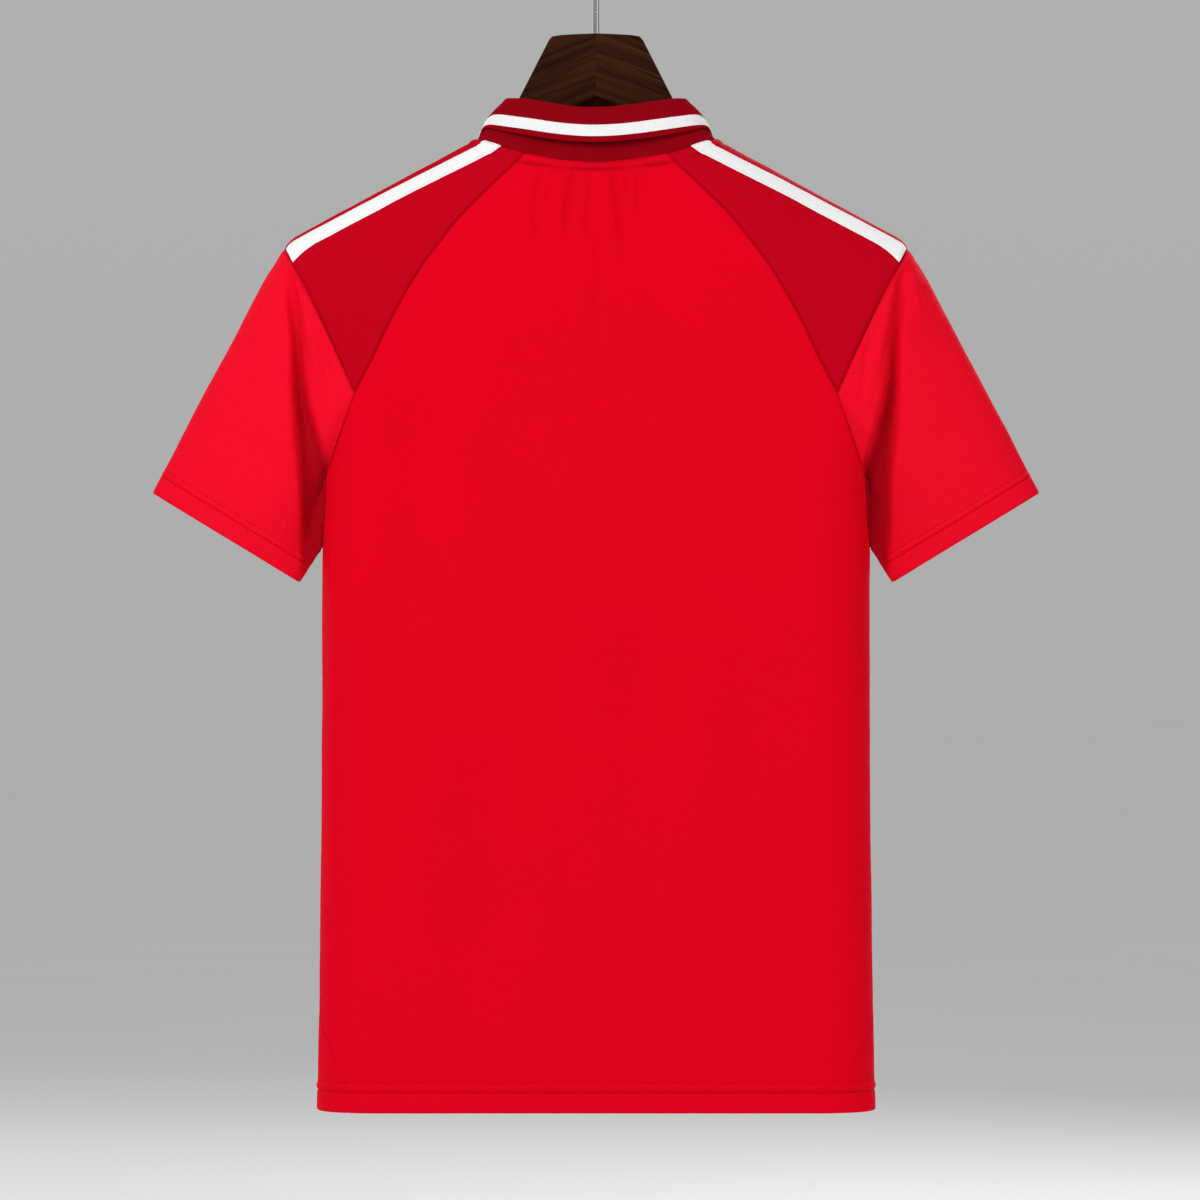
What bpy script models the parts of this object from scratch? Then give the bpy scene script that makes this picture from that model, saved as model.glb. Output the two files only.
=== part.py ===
"""A training polo shirt hanging on a wooden hanger.

Metres, +Z up. The wearer's back faces +Y and the wearer's left is +X. The origin is the
point of the hook that rests on a rail. Every cloth piece is a thin wall on one common form:
the torso is a flattened tube whose half depth is a function of width and height, and each
sleeve is a loft from the armhole to the cuff.
"""
import math

import bmesh
import bpy
from mathutils import Vector

# ---------------------------------------------------------------- driving sizes

CLOTH = 0.0012            # wall of the jersey panels
TAPE = 0.0010             # wall of the shoulder tapes and the placket bands
COLLAR_WALL = 0.0014      # wall of the ribbed collar
GAP = 0.0003              # between two pieces that are sewn or laid together
PULL = 0.0002             # how far a panel's edge stays short of its seam line

NECK_HALF = 0.0885        # centre to the neck point on the shoulder ridge
NECK_LEVEL = -0.1479      # height of the neck point
BACK_NECK_DROP = 0.0181   # neck point to the middle of the back neckline
FRONT_NECK_DROP = 0.0740  # neck point to the middle of the front neckline
RIDGE_ANGLE = math.radians(28.4)
RIDGE_REACH = 0.080       # how far below the ridge the torso is fully deep
SIDE_REACH = 0.045        # how far in from the side the torso is fully deep

RIDGE_TURN_OUT = 0.2235   # from here out the ridge rounds down over the shoulder
RIDGE_TURN_DOWN = 58.0    # metres down for each square metre further out
SHOULDER_HALF = 0.2325    # centre to the sleeve seam on the ridge
TIP_HALF = 0.1786         # centre to the lower tip of the shoulder panel
TIP_LEVEL = -0.3394
ARMHOLE_BOW = 0.0025      # how far the upper armhole bows towards the centre
LOW_ARMHOLE_LEVEL = -0.4012
UNDERARM_LEVEL = -0.4520
LOW_ARMHOLE_TURN = math.radians(70.4)

HEM_LEVEL = -0.8698
SEAM_SWEEP_TOP = -0.8020  # where the side seam starts to run on to the back
SEAM_SWEEP_LOW = -0.8537
SEAM_SWEEP = 0.0245       # how far in from the side the seam meets the hem

CUFF_OUTER = (0.3296, -0.4110)   # x and z of the cuff's outer corner
CUFF_INNER = (0.2201, -0.4775)   # x and z of the cuff's inner corner
CUFF_HALF_DEPTH = 0.0190

# Torso sections: height, half width and half depth.
TORSO = (
    (-0.1400, 0.2036, 0.0355),
    (-0.2300, 0.2036, 0.0365),
    (-0.3400, 0.2036, 0.0380),
    (-0.4500, 0.2036, 0.0395),
    (-0.6000, 0.2037, 0.0395),
    (-0.7500, 0.2053, 0.0380),
    (-0.8716, 0.2078, 0.0360),
)

# Seam between the back panel and a shoulder panel: share of its drop, share of its width.
RAGLAN = (
    (0.000, 0.000),
    (0.031, 0.036),
    (0.122, 0.172),
    (0.162, 0.231),
    (0.270, 0.382),
    (0.354, 0.477),
    (0.478, 0.607),
    (0.602, 0.713),
    (0.727, 0.807),
    (0.851, 0.889),
    (1.000, 1.000),
)
BACK_RAGLAN_HALF = 0.0520  # where that seam starts on the back neckline
FRONT_RAGLAN_HALF = 0.0640

# Broad soft folds: face, x and z of the top, x and z of the low end, half width, depth.
FOLDS = (
    (+1, 0.090, -0.195, 0.168, -0.790, 0.030, 0.0022),
    (+1, 0.045, -0.400, 0.090, -0.830, 0.026, 0.0018),
    (+1, -0.029, -0.440, -0.012, -0.860, 0.030, 0.0024),
    (+1, -0.125, -0.260, -0.140, -0.420, 0.036, 0.0014),
    (+1, -0.172, -0.660, -0.150, -0.860, 0.026, 0.0022),
    (-1, -0.085, -0.240, -0.160, -0.800, 0.032, 0.0022),
    (-1, 0.052, -0.420, 0.035, -0.860, 0.030, 0.0020),
    (-1, 0.120, -0.300, 0.165, -0.760, 0.030, 0.0018),
    (-1, -0.060, -0.560, -0.085, -0.860, 0.026, 0.0016),
)

# The fold where a sleeve hangs down beside the body: height, distance out, depth.
SLEEVE_VALLEY = (
    (-0.2400, 0.2300, 0.0010),
    (-0.3090, 0.2225, 0.0045),
    (-0.3600, 0.2170, 0.0095),
    (-0.4120, 0.2125, 0.0120),
    (-0.4460, 0.2130, 0.0070),
    (-0.4760, 0.2180, 0.0010),
)
VALLEY_HALF_WIDTH = 0.016

# Collar: turn round the neck in degrees (0 at the back, 180 at the front) and the height of
# the fold. The first row mirrors a later one, so that the curve is level at the back's middle.
COLLAR_FOLD_LEVELS = ((-40, -0.1219), (0, -0.1267), (23, -0.1246), (40, -0.1219),
                      (55, -0.1198), (70, -0.1190), (90, -0.1192), (102, -0.1232),
                      (118, -0.1345), (145, -0.1620), (180, -0.1935))
# Back and sides of the fall: turn, height of its edge, how far it stands off the stand.
COLLAR_BACK = ((-40, -0.1475, 0.0070), (0, -0.1545, 0.0078), (20, -0.1523, 0.0075),
               (40, -0.1475, 0.0062), (55, -0.1440, 0.0042), (70, -0.1411, 0.0030),
               (85, -0.1404, 0.0026), (110, -0.1440, 0.0028), (180, -0.1930, 0.0028))
# Front of the fall: turn, distance out and height of its edge, how far it lies off the cloth.
COLLAR_FRONT = ((60, 0.0836, -0.1418, 0.0030), (70, 0.0862, -0.1432, 0.0029),
                (80, 0.0890, -0.1452, 0.0027), (90, 0.0918, -0.1490, 0.0025),
                (102, 0.0944, -0.1585, 0.0025), (118, 0.0945, -0.1745, 0.0026),
                (145, 0.0830, -0.2150, 0.0028), (180, 0.0520, -0.2540, 0.0030))
COLLAR_HANDOVER = (77.0, 119.0)   # turns between which the edge passes from stand to cloth
COLLAR_TOP_HALF = 0.0645   # half width of the stand's upper edge
COLLAR_TOP_BACK = 0.0240   # centre to the stand's upper edge at the back
COLLAR_TOP_FRONT = 0.0325  # and at the front
COLLAR_FOLD = 0.0034       # stand to fall, between the middles of the two layers
FALL_CROWN_BACK = 0.0012   # how far the fall bellies out between its fold and its edge
FALL_CROWN_FRONT = 0.0026
FALL_CROWN_SIDE = 0.0035   # more of it where the fall passes over the shoulder,
SIDE_TURN, SIDE_SPREAD = 103.0, 13.0   # round this turn and within this spread of degrees
COLLAR_SEAM_LIFT = 0.0010  # the stand starts this far above the neckline

PLACKET_HALF = 0.0155
PLACKET_LOW = -0.3750
SLIT_HALF = 0.0010
BUTTON_RADIUS = 0.0057
BUTTON_THICKNESS = 0.0026
BUTTON_LEVELS = (("top", -0.2420), ("middle", -0.2920), ("low", -0.3420))

# Shoulder tape: share of its length, distance out of its upper and of its lower edge,
# and how far below the ridge each of them lies.
TAPE_ROWS = (
    (0.00, 0.0826, 0.0710, 0.0052, 0.0158),
    (0.05, 0.0858, 0.0744, 0.0068, 0.0177),
    (0.16, 0.1049, 0.0940, 0.0060, 0.0170),
    (0.50, 0.1590, 0.1475, 0.0044, 0.0150),
    (0.95, 0.2215, 0.2142, 0.0038, 0.0145),
    (1.00, 0.2298, 0.2240, 0.0040, 0.0192),
)

# Hanger: distance out, top (zero where it follows the shoulder), underside, half depth and
# the radius of its upper corners. Within the notch the front of the underside lies lower.
HANGER = (
    (0.00015, -0.0700, -0.1180, 0.0072, 0.0022),
    (0.0130, -0.0704, -0.1229, 0.0072, 0.0022),
    (0.0260, -0.0712, -0.1302, 0.0072, 0.0022),
    (0.0325, -0.0722, -0.1338, 0.0072, 0.0022),
    (0.0350, -0.0750, -0.1352, 0.0072, 0.0022),
    (0.0570, -0.1180, -0.1475, 0.0074, 0.0030),
    (0.0660, -0.1365, -0.1526, 0.0078, 0.0050),
    (0.0740, -0.1480, -0.1600, 0.0082, 0.0058),
    (0.0885, -0.1545, -0.1690, 0.0090, 0.0070),
    (0.1080, -0.1616, -0.1790, 0.0094, 0.0088),
    (0.1300, 0.0, -0.1896, 0.0098, 0.0096),
    (0.1800, 0.0, -0.2170, 0.0102, 0.0100),
    (0.2150, 0.0, -0.2362, 0.0096, 0.0092),
    (0.2225, -0.2272, -0.2372, 0.0060, 0.0040),
)
NOTCH_HALF = 0.0260
NOTCH_FRONT_LEVEL = -0.1302
HANGER_CLEARANCE = 0.0013  # between the wood and the cloth that rests on it

WIRE_RADIUS = 0.0024
HOOK_RADIUS = 0.0204       # middle of the wire, round the rail
HOOK_NECK_RADIUS = 0.0080  # middle of the wire, where the stem turns aside
HOOK_END_TURN = math.radians(195)

# Colours are linear RGB, then roughness and metallic.
FINISHES = {
    "red_jersey": ((0.760, 0.002, 0.013), 0.72, 0.0),
    "dark_jersey": ((0.510, 0.001, 0.011), 0.72, 0.0),
    "rib_knit": ((0.260, 0.001, 0.006), 0.80, 0.0),
    "white_tape": ((0.880, 0.890, 0.900), 0.60, 0.0),
    "button_red": ((0.300, 0.002, 0.008), 0.35, 0.0),
    "walnut": ((0.034, 0.012, 0.006), 0.45, 0.0),
    "chrome_wire": ((0.620, 0.610, 0.600), 0.18, 1.0),
}


# ---------------------------------------------------------------- small helpers

def mix(start, end, share):
    return start + (end - start) * share


def smooth_step(value, low, high):
    """Run from 0 at low to 1 at high, flat at both ends."""
    share = min(max((value - low) / (high - low), 0.0), 1.0)
    return share * share * (3.0 - 2.0 * share)


def table_at(rows, key, column):
    """Read a column of a table at a key between its rows, along a smooth curve."""
    ordered = sorted(rows, key=lambda row: row[0])
    keys = [row[0] for row in ordered]
    values = [row[column] for row in ordered]
    key = min(max(key, keys[0]), keys[-1])
    index = max(i for i in range(len(keys) - 1) if keys[i] <= key)

    def slope(at):
        before = max(at - 1, 0)
        after = min(at + 1, len(keys) - 1)
        return (values[after] - values[before]) / (keys[after] - keys[before])

    span = keys[index + 1] - keys[index]
    share = (key - keys[index]) / span
    rise = share * share * (3.0 - 2.0 * share)
    leave = share * (1.0 - share) ** 2
    arrive = share * share * (share - 1.0)
    return (mix(values[index], values[index + 1], rise)
            + span * (slope(index) * leave + slope(index + 1) * arrive))


# ---------------------------------------------------------------- the torso's form

def ridge_level(out):
    """Height of the shoulder ridge at a distance from the centre."""
    past_turn = max(abs(out) - RIDGE_TURN_OUT, 0.0)
    return (NECK_LEVEL - math.tan(RIDGE_ANGLE) * (abs(out) - NECK_HALF)
            - RIDGE_TURN_DOWN * past_turn ** 2)


def rounding(distance, reach):
    """Square of a quarter ellipse's height, from 0 at the edge to 1 at its reach."""
    share = min(max(distance / reach, 0.0), 1.0)
    return share * (2.0 - share)


def form(x, z):
    """Square of the torso's half depth."""
    half_width = table_at(TORSO, z, 1)
    below_ridge = (ridge_level(x) - z) * math.cos(RIDGE_ANGLE)
    side = rounding(half_width - abs(x), SIDE_REACH)
    has_side = 1.0 - smooth_step(z, LOW_ARMHOLE_LEVEL, TIP_LEVEL + 0.02)
    return (table_at(TORSO, z, 2) ** 2 * rounding(below_ridge, RIDGE_REACH)
            * mix(1.0, side, has_side))


def fold_depth(x, z, face):
    """How far the broad folds draw the cloth in at a place."""
    total = 0.0
    for fold_face, top_x, top_z, low_x, low_z, half_width, depth in FOLDS:
        if fold_face != face:
            continue
        share = (z - top_z) / (low_z - top_z)
        ends = smooth_step(share, -0.15, 0.25) * (1.0 - smooth_step(share, 0.80, 1.20))
        across = (x - mix(top_x, low_x, share)) / half_width
        total += depth * ends * math.exp(-across * across)
    return total


def half_depth(x, z, face):
    square = max(form(x, z), 0.0)
    full = table_at(TORSO, z, 2) ** 2
    return math.sqrt(square) - fold_depth(x, z, face) * square / full


def torso_normal(x, z, face):
    """Outward direction of the torso's form, without its folds."""
    step = 0.0002
    across = (form(x + step, z) - form(x - step, z)) / (2.0 * step)
    upward = (form(x, z + step) - form(x, z - step)) / (2.0 * step)
    outward = 2.0 * face * math.sqrt(max(form(x, z), 0.0))
    return Vector((-across, outward, -upward)).normalized()


def torso_point(x, z, face, lift=0.0):
    """A point of the torso's outer face (+1 back, -1 front), moved out by lift."""
    on_cloth = Vector((x, face * half_depth(x, z, face), z))
    return on_cloth + torso_normal(x, z, face) * lift


def back_neckline(out):
    return NECK_LEVEL - BACK_NECK_DROP * (1.0 - (abs(out) / NECK_HALF) ** 1.8)


def front_neckline(out):
    share = min(abs(out) / NECK_HALF, 1.0)
    return NECK_LEVEL - FRONT_NECK_DROP * math.sqrt(1.0 - share * share)


def neckline(out, face):
    return back_neckline(out) if face > 0 else front_neckline(out)


def raglan_start(face):
    """Distance out and height where a shoulder panel's seam leaves the neckline."""
    out = BACK_RAGLAN_HALF if face > 0 else FRONT_RAGLAN_HALF
    return out, neckline(out, face)


def raglan_point(share, face):
    """Distance out and height on the seam between a shoulder panel and the body."""
    start_out, start_level = raglan_start(face)
    out = mix(start_out, TIP_HALF, table_at(RAGLAN, share, 1))
    return out, mix(start_level, TIP_LEVEL, share)


def upper_armhole(share):
    """Distance out and height from the ridge (0) to the shoulder panel's tip (1)."""
    out = mix(SHOULDER_HALF, TIP_HALF, share) - ARMHOLE_BOW * math.sin(math.pi * share)
    return out, mix(ridge_level(SHOULDER_HALF), TIP_LEVEL, share)


# ---------------------------------------------------------------- a walk round the torso

def flat_half(z):
    return table_at(TORSO, z, 1) - SIDE_REACH


def bend(z):
    """Mean radius of the torso's side."""
    return (SIDE_REACH + table_at(TORSO, z, 2)) / 2.0


def run_to(out, z):
    """Walk from the panel's middle to a distance out, on the near face."""
    if out <= flat_half(z):
        return out
    turn = math.asin(min((out - flat_half(z)) / SIDE_REACH, 1.0))
    return flat_half(z) + bend(z) * turn


def place_on_walk(run, z, face):
    """Distance out and face at the end of a walk that may pass round the side."""
    if run <= flat_half(z):
        return run, face
    turn = (run - flat_half(z)) / bend(z)
    out = flat_half(z) + SIDE_REACH * math.sin(turn)
    return out, face if turn <= math.pi / 2.0 else -face


LOW_ARMHOLE_TURNS = (0, 30, 58, 90)


def low_armhole(angle):
    """Turn round the side, and height, on the armhole's rounded low end."""
    turn = math.pi / 2.0 - (math.pi / 2.0 - LOW_ARMHOLE_TURN) * math.cos(angle)
    return turn, mix(LOW_ARMHOLE_LEVEL, UNDERARM_LEVEL, math.sin(angle))


def middle_armhole(share):
    """Turn round the side, and height, from the tip (0) to the low end (1)."""
    tip_turn = math.asin((TIP_HALF - flat_half(TIP_LEVEL)) / SIDE_REACH)
    turn = math.asin(mix(math.sin(tip_turn), math.sin(LOW_ARMHOLE_TURN), share))
    return turn, mix(TIP_LEVEL, LOW_ARMHOLE_LEVEL, share)


def lower_armhole_stations():
    """Turn and height at each station from the tip down to the underarm."""
    stations = [middle_armhole(share) for share in (1 / 3, 2 / 3)]
    return stations + [low_armhole(math.radians(turn)) for turn in LOW_ARMHOLE_TURNS]


def side_seam_run(z):
    """Walk from the back's middle to the side seam, which runs on to the back low down."""
    half_width = table_at(TORSO, z, 1)
    sweep = min(max((SEAM_SWEEP_TOP - z) / (SEAM_SWEEP_TOP - SEAM_SWEEP_LOW), 0.0), 1.0)
    return run_to(half_width - SEAM_SWEEP * sweep, z)


RAGLAN_SHARES = (0.0, 0.05, 0.12, 0.21, 0.33, 0.48, 0.66, 0.84, 0.94, 1.0)
SWEEP_SHARES = (1.0, 0.68, 0.40, 0.20, 0.07, 0.0)
PLAIN_LEVELS = (-0.7500, -0.6900, -0.6300, -0.5700, -0.5150)


def body_levels():
    """Heights of the rows below the underarm, closer together where the side seam sweeps."""
    sweep = [mix(SEAM_SWEEP_TOP, SEAM_SWEEP_LOW, share) for share in SWEEP_SHARES]
    return [HEM_LEVEL, *sweep, *PLAIN_LEVELS]


def panel_rows(face):
    """Each row of a body panel: height at its ends, walk to its edge, share of neck bend."""
    rows = []
    for z in body_levels():
        run = side_seam_run(z)
        if face < 0:
            run = 2.0 * flat_half(z) + math.pi * bend(z) - run
        rows.append((z, run - PULL, 0.0))
    for turn, z in reversed(lower_armhole_stations()):
        rows.append((z, flat_half(z) + bend(z) * turn - PULL, 0.0))
    for share in reversed(RAGLAN_SHARES):
        out, z = raglan_point(share, face)
        rows.append((z, run_to(out, z) - PULL, (1.0 - share) ** 2))
    return rows


PANEL_COLUMNS = 10


def column_share(index):
    """Columns close up towards the panel's edge, where the side turns."""
    return 1.0 - (1.0 - index / PANEL_COLUMNS) ** 1.25


def panel_point(z, run, end_run, neck_bend, face, lift):
    """A point of a body panel. Rows near the neck bend down to follow the neckline."""
    out, side = place_on_walk(abs(run), z, face)
    start_out, start_level = raglan_start(face)
    at_neck = neckline(start_out * min(abs(run) / end_run, 1.0), face) - start_level
    level = z + at_neck * neck_bend
    if neck_bend == 1.0:
        level -= GAP
    return torso_point(math.copysign(out, run), level, side, lift)


# ---------------------------------------------------------------- mesh builders

def new_material(name):
    color, roughness, metallic = FINISHES[name]
    material = bpy.data.materials.new(name)
    material.use_nodes = True
    shader = material.node_tree.nodes["Principled BSDF"]
    shader.inputs["Base Color"].default_value = (*color, 1.0)
    shader.inputs["Roughness"].default_value = roughness
    shader.inputs["Metallic"].default_value = metallic
    material.diffuse_color = (*color, 1.0)
    return material


def add_object(name, mesh, material, collection):
    mesh.materials.append(material)
    mesh.shade_smooth()
    mesh.set_sharp_from_angle(angle=math.radians(40))
    piece = bpy.data.objects.new(name, mesh)
    collection.objects.link(piece)
    return piece


def wall_mesh(name, outer, inner, closed=False, is_cut=None):
    """Close two grids of points into one wall, with a rim along every open edge."""
    shape = bmesh.new()
    rows, columns = len(outer), len(outer[0])
    across = columns if closed else columns - 1
    layers = [[[shape.verts.new(point) for point in row] for row in grid]
              for grid in (outer, inner)]
    edge_uses = {}
    for row in range(rows - 1):
        for column in range(across):
            if is_cut and is_cut(row, column):
                continue
            following = (column + 1) % columns
            corners = [(row, column), (row, following), (row + 1, following), (row + 1, column)]
            for layer, order in ((layers[0], corners), (layers[1], corners[::-1])):
                shape.faces.new([layer[i][j] for i, j in order])
            for start, end in zip(corners, corners[1:] + corners[:1]):
                edge_uses.setdefault(frozenset((start, end)), []).append((start, end))
    for uses in edge_uses.values():
        if len(uses) == 1:
            (i, j), (k, m) = uses[0]
            shape.faces.new([layers[0][k][m], layers[0][i][j], layers[1][i][j], layers[1][k][m]])
    loose = [vertex for vertex in shape.verts if not vertex.link_faces]
    bmesh.ops.delete(shape, geom=loose, context="VERTS")
    bmesh.ops.recalc_face_normals(shape, faces=shape.faces)
    mesh = bpy.data.meshes.new(name)
    shape.to_mesh(mesh)
    shape.free()
    return mesh


def grid_normals(grid, closed):
    """Mean direction square to the grid's rows and columns at each point."""
    rows, columns = len(grid), len(grid[0])
    normals = []
    for i in range(rows):
        line = []
        for j in range(columns):
            before = (j - 1) % columns if closed else max(j - 1, 0)
            after = (j + 1) % columns if closed else min(j + 1, columns - 1)
            along = grid[min(i + 1, rows - 1)][j] - grid[max(i - 1, 0)][j]
            line.append(along.cross(grid[i][after] - grid[i][before]).normalized())
        normals.append(line)
    return normals


def offset_grid(grid, normals, distance):
    return [[point + normal * distance for point, normal in zip(points, directions)]
            for points, directions in zip(grid, normals)]


# ---------------------------------------------------------------- body panels

def body_panel(name, face, material, collection):
    """Back or front panel. The front is slit at its middle for the placket."""
    middle = SLIT_HALF if face < 0 else 0.0
    sides = [-column_share(i) for i in range(PANEL_COLUMNS, 0, -1)]
    columns = sides + ([-0.0, 0.0] if face < 0 else [0.0]) + [-share for share in reversed(sides)]
    grids = []
    for lift in (0.0, -CLOTH):
        grid = []
        for z, end_run, neck_bend in panel_rows(face):
            line = []
            for share in columns:
                run = math.copysign(max(abs(share) * end_run, middle), share)
                line.append(panel_point(z, run, end_run, neck_bend, face, lift))
            grid.append(line)
        grids.append(grid)
    slit_rows = [row[0] > PLACKET_LOW for row in panel_rows(face)]

    def is_slit(row, column):
        return face < 0 and column == PANEL_COLUMNS and slit_rows[row]

    mesh = wall_mesh(name, grids[0], grids[1], is_cut=is_slit)
    return add_object(name, mesh, material, collection)


# ---------------------------------------------------------------- shoulder panels

ACROSS_SHOULDER = 8


def shoulder_patch_point(along, down, face):
    """Distance out and height in a patch between ridge, armhole, raglan and neckline."""
    start_out, start_level = raglan_start(face)
    ridge_out = mix(NECK_HALF, SHOULDER_HALF, along)
    seam_out, seam_level = raglan_point(along, face)
    neck_out = mix(NECK_HALF, start_out, down)
    arm_out, arm_level = upper_armhole(down)
    corners_out = mix(mix(NECK_HALF, start_out, down), mix(SHOULDER_HALF, TIP_HALF, down), along)
    corners_level = mix(mix(NECK_LEVEL, start_level, down),
                        mix(ridge_level(SHOULDER_HALF), TIP_LEVEL, down), along)
    out = (mix(ridge_out, seam_out, down) + mix(neck_out, arm_out, along) - corners_out)
    level = (mix(ridge_level(ridge_out), seam_level, down)
             + mix(neckline(neck_out, face), arm_level, along) - corners_level)
    return out, level


def inset(share, length):
    """Keep a share of a length clear of both ends by the seam pull."""
    return mix(PULL / length, 1.0 - PULL / length, share)


def shoulder_panel(name, hand, material, collection):
    """The darker panel that wraps over one shoulder, from back seam to front seam."""
    downs = [1.0 - math.cos(math.pi / 2.0 * i / ACROSS_SHOULDER)
             for i in range(ACROSS_SHOULDER + 1)]
    stations = ([(+1, down) for down in reversed(downs)] + [(-1, down) for down in downs[1:]])
    seam_pull = 1.0 - 1.6 * PULL / (ridge_level(TIP_HALF) - TIP_LEVEL)
    grids = []
    for lift in (0.0, -CLOTH):
        grid = []
        for along in RAGLAN_SHARES:
            line = []
            for face, down in stations:
                share = inset(along, SHOULDER_HALF - NECK_HALF)
                out, level = shoulder_patch_point(share, min(down, seam_pull), face)
                line.append(torso_point(hand * out, level, face, lift))
            grid.append(line)
        grids.append(grid)
    mesh = wall_mesh(name, grids[0], grids[1])
    return add_object(name, mesh, material, collection)


def shoulder_tape(name, hand, material, collection):
    """The white tape laid on the back of a shoulder panel, from the neck to the sleeve."""
    stations = (0.0, 0.05, 0.16, 0.3, 0.5, 0.65, 0.8, 0.95, 1.0)
    across = 3
    grids = []
    for lift in (GAP + TAPE, GAP):
        grid = []
        for along in stations:
            upper_out, lower_out = (table_at(TAPE_ROWS, along, i) for i in (1, 2))
            upper_drop, lower_drop = (table_at(TAPE_ROWS, along, i) for i in (3, 4))
            line = []
            for i in range(across + 1):
                out = mix(upper_out, lower_out, i / across)
                level = ridge_level(out) - mix(upper_drop, lower_drop, i / across)
                line.append(torso_point(hand * out, level, +1, lift))
            grid.append(line)
        grids.append(grid)
    return add_object(name, wall_mesh(name, grids[0], grids[1]), material, collection)


# ---------------------------------------------------------------- sleeves

SLEEVE_SHARES = (0.0, 0.07, 0.20, 0.34, 0.48, 0.62, 0.76, 0.90, 1.0)
UPPER_ARMHOLE_SHARES = tuple(1.0 - math.cos(math.pi / 2.0 * i / ACROSS_SHOULDER)
                             for i in range(ACROSS_SHOULDER))


def armhole_half():
    """Distance out, height and normal's source from the ridge down to the underarm."""
    stations = [upper_armhole(share) for share in UPPER_ARMHOLE_SHARES]
    stations.append((TIP_HALF, TIP_LEVEL))
    for turn, z in lower_armhole_stations():
        stations.append((flat_half(z) + SIDE_REACH * math.sin(turn), z))
    return stations


def cuff_point(share, face):
    """A point of the cuff's flattened oval: 0 at the outer corner, 1 at the inner one."""
    angle = math.pi * share
    along = (1.0 - math.cos(angle)) / 2.0
    depth = CUFF_HALF_DEPTH * math.sin(angle) ** 0.8 if 0.0 < share < 1.0 else 0.0
    return Vector((mix(CUFF_OUTER[0], CUFF_INNER[0], along), face * depth,
                   mix(CUFF_OUTER[1], CUFF_INNER[1], along)))


def armhole_ring():
    """Armhole points from the ridge round the back to the underarm, and up the front."""
    half = armhole_half()
    last = len(half) - 1
    walked = [0.0]
    back = [torso_point(out, z, +1) for out, z in half]
    for before, after in zip(back, back[1:]):
        walked.append(walked[-1] + (after - before).length)
    ring = [(out, z, +1, walked[i] / walked[-1]) for i, (out, z) in enumerate(half)]
    ring += [(*half[i], -1, walked[i] / walked[-1]) for i in range(last - 1, 0, -1)]
    return ring


def valley_depth(out, z):
    """How far the hanging fold beside the body draws the sleeve in."""
    across = (out - table_at(SLEEVE_VALLEY, z, 1)) / VALLEY_HALF_WIDTH
    return table_at(SLEEVE_VALLEY, z, 2) * math.exp(-across * across)


def sleeve(name, hand, material, collection):
    """A tube lofted from the armhole to the cuff, with its hanging fold."""
    ring = armhole_ring()
    grid = []
    for share in SLEEVE_SHARES:
        line = []
        for out, z, face, walked in ring:
            start = torso_point(out, z, face)
            end = cuff_point(walked, face)
            towards = (end - start).normalized()
            start = start + towards * GAP + torso_normal(out, z, face) * GAP * (1.0 - share)
            point = start.lerp(end, share)
            free = smooth_step(share, 0.0, 0.25) * smooth_step(abs(point.y), 0.0, 0.02)
            point.y -= face * valley_depth(point.x, point.z) * free
            line.append(point)
        grid.append(line)
    normals = grid_normals(grid, closed=True)
    for index, (out, z, face, _) in enumerate(ring):
        flow = smooth_step(z, UNDERARM_LEVEL, TIP_LEVEL)
        normal = normals[0][index].lerp(torso_normal(out, z, face), flow)
        normals[0][index] = normal.normalized()
    inner = offset_grid(grid, normals, -CLOTH)
    if hand < 0:
        grid = [[Vector((-p.x, p.y, p.z)) for p in line] for line in grid]
        inner = [[Vector((-p.x, p.y, p.z)) for p in line] for line in inner]
    mesh = wall_mesh(name, grid, inner, closed=True)
    return add_object(name, mesh, material, collection)


# ---------------------------------------------------------------- collar

COLLAR_TURNS = (0, 14, 28, 42, 56, 68, 79, 90, 101, 113, 126, 140, 154, 167, 178)
STAND_SHARES = (0.0, 0.33, 0.67, 1.0)
FALL_SHARES = (0.0, 0.3, 0.65, 1.0)
FOLD_TURNS = (45, 90, 135)


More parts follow.
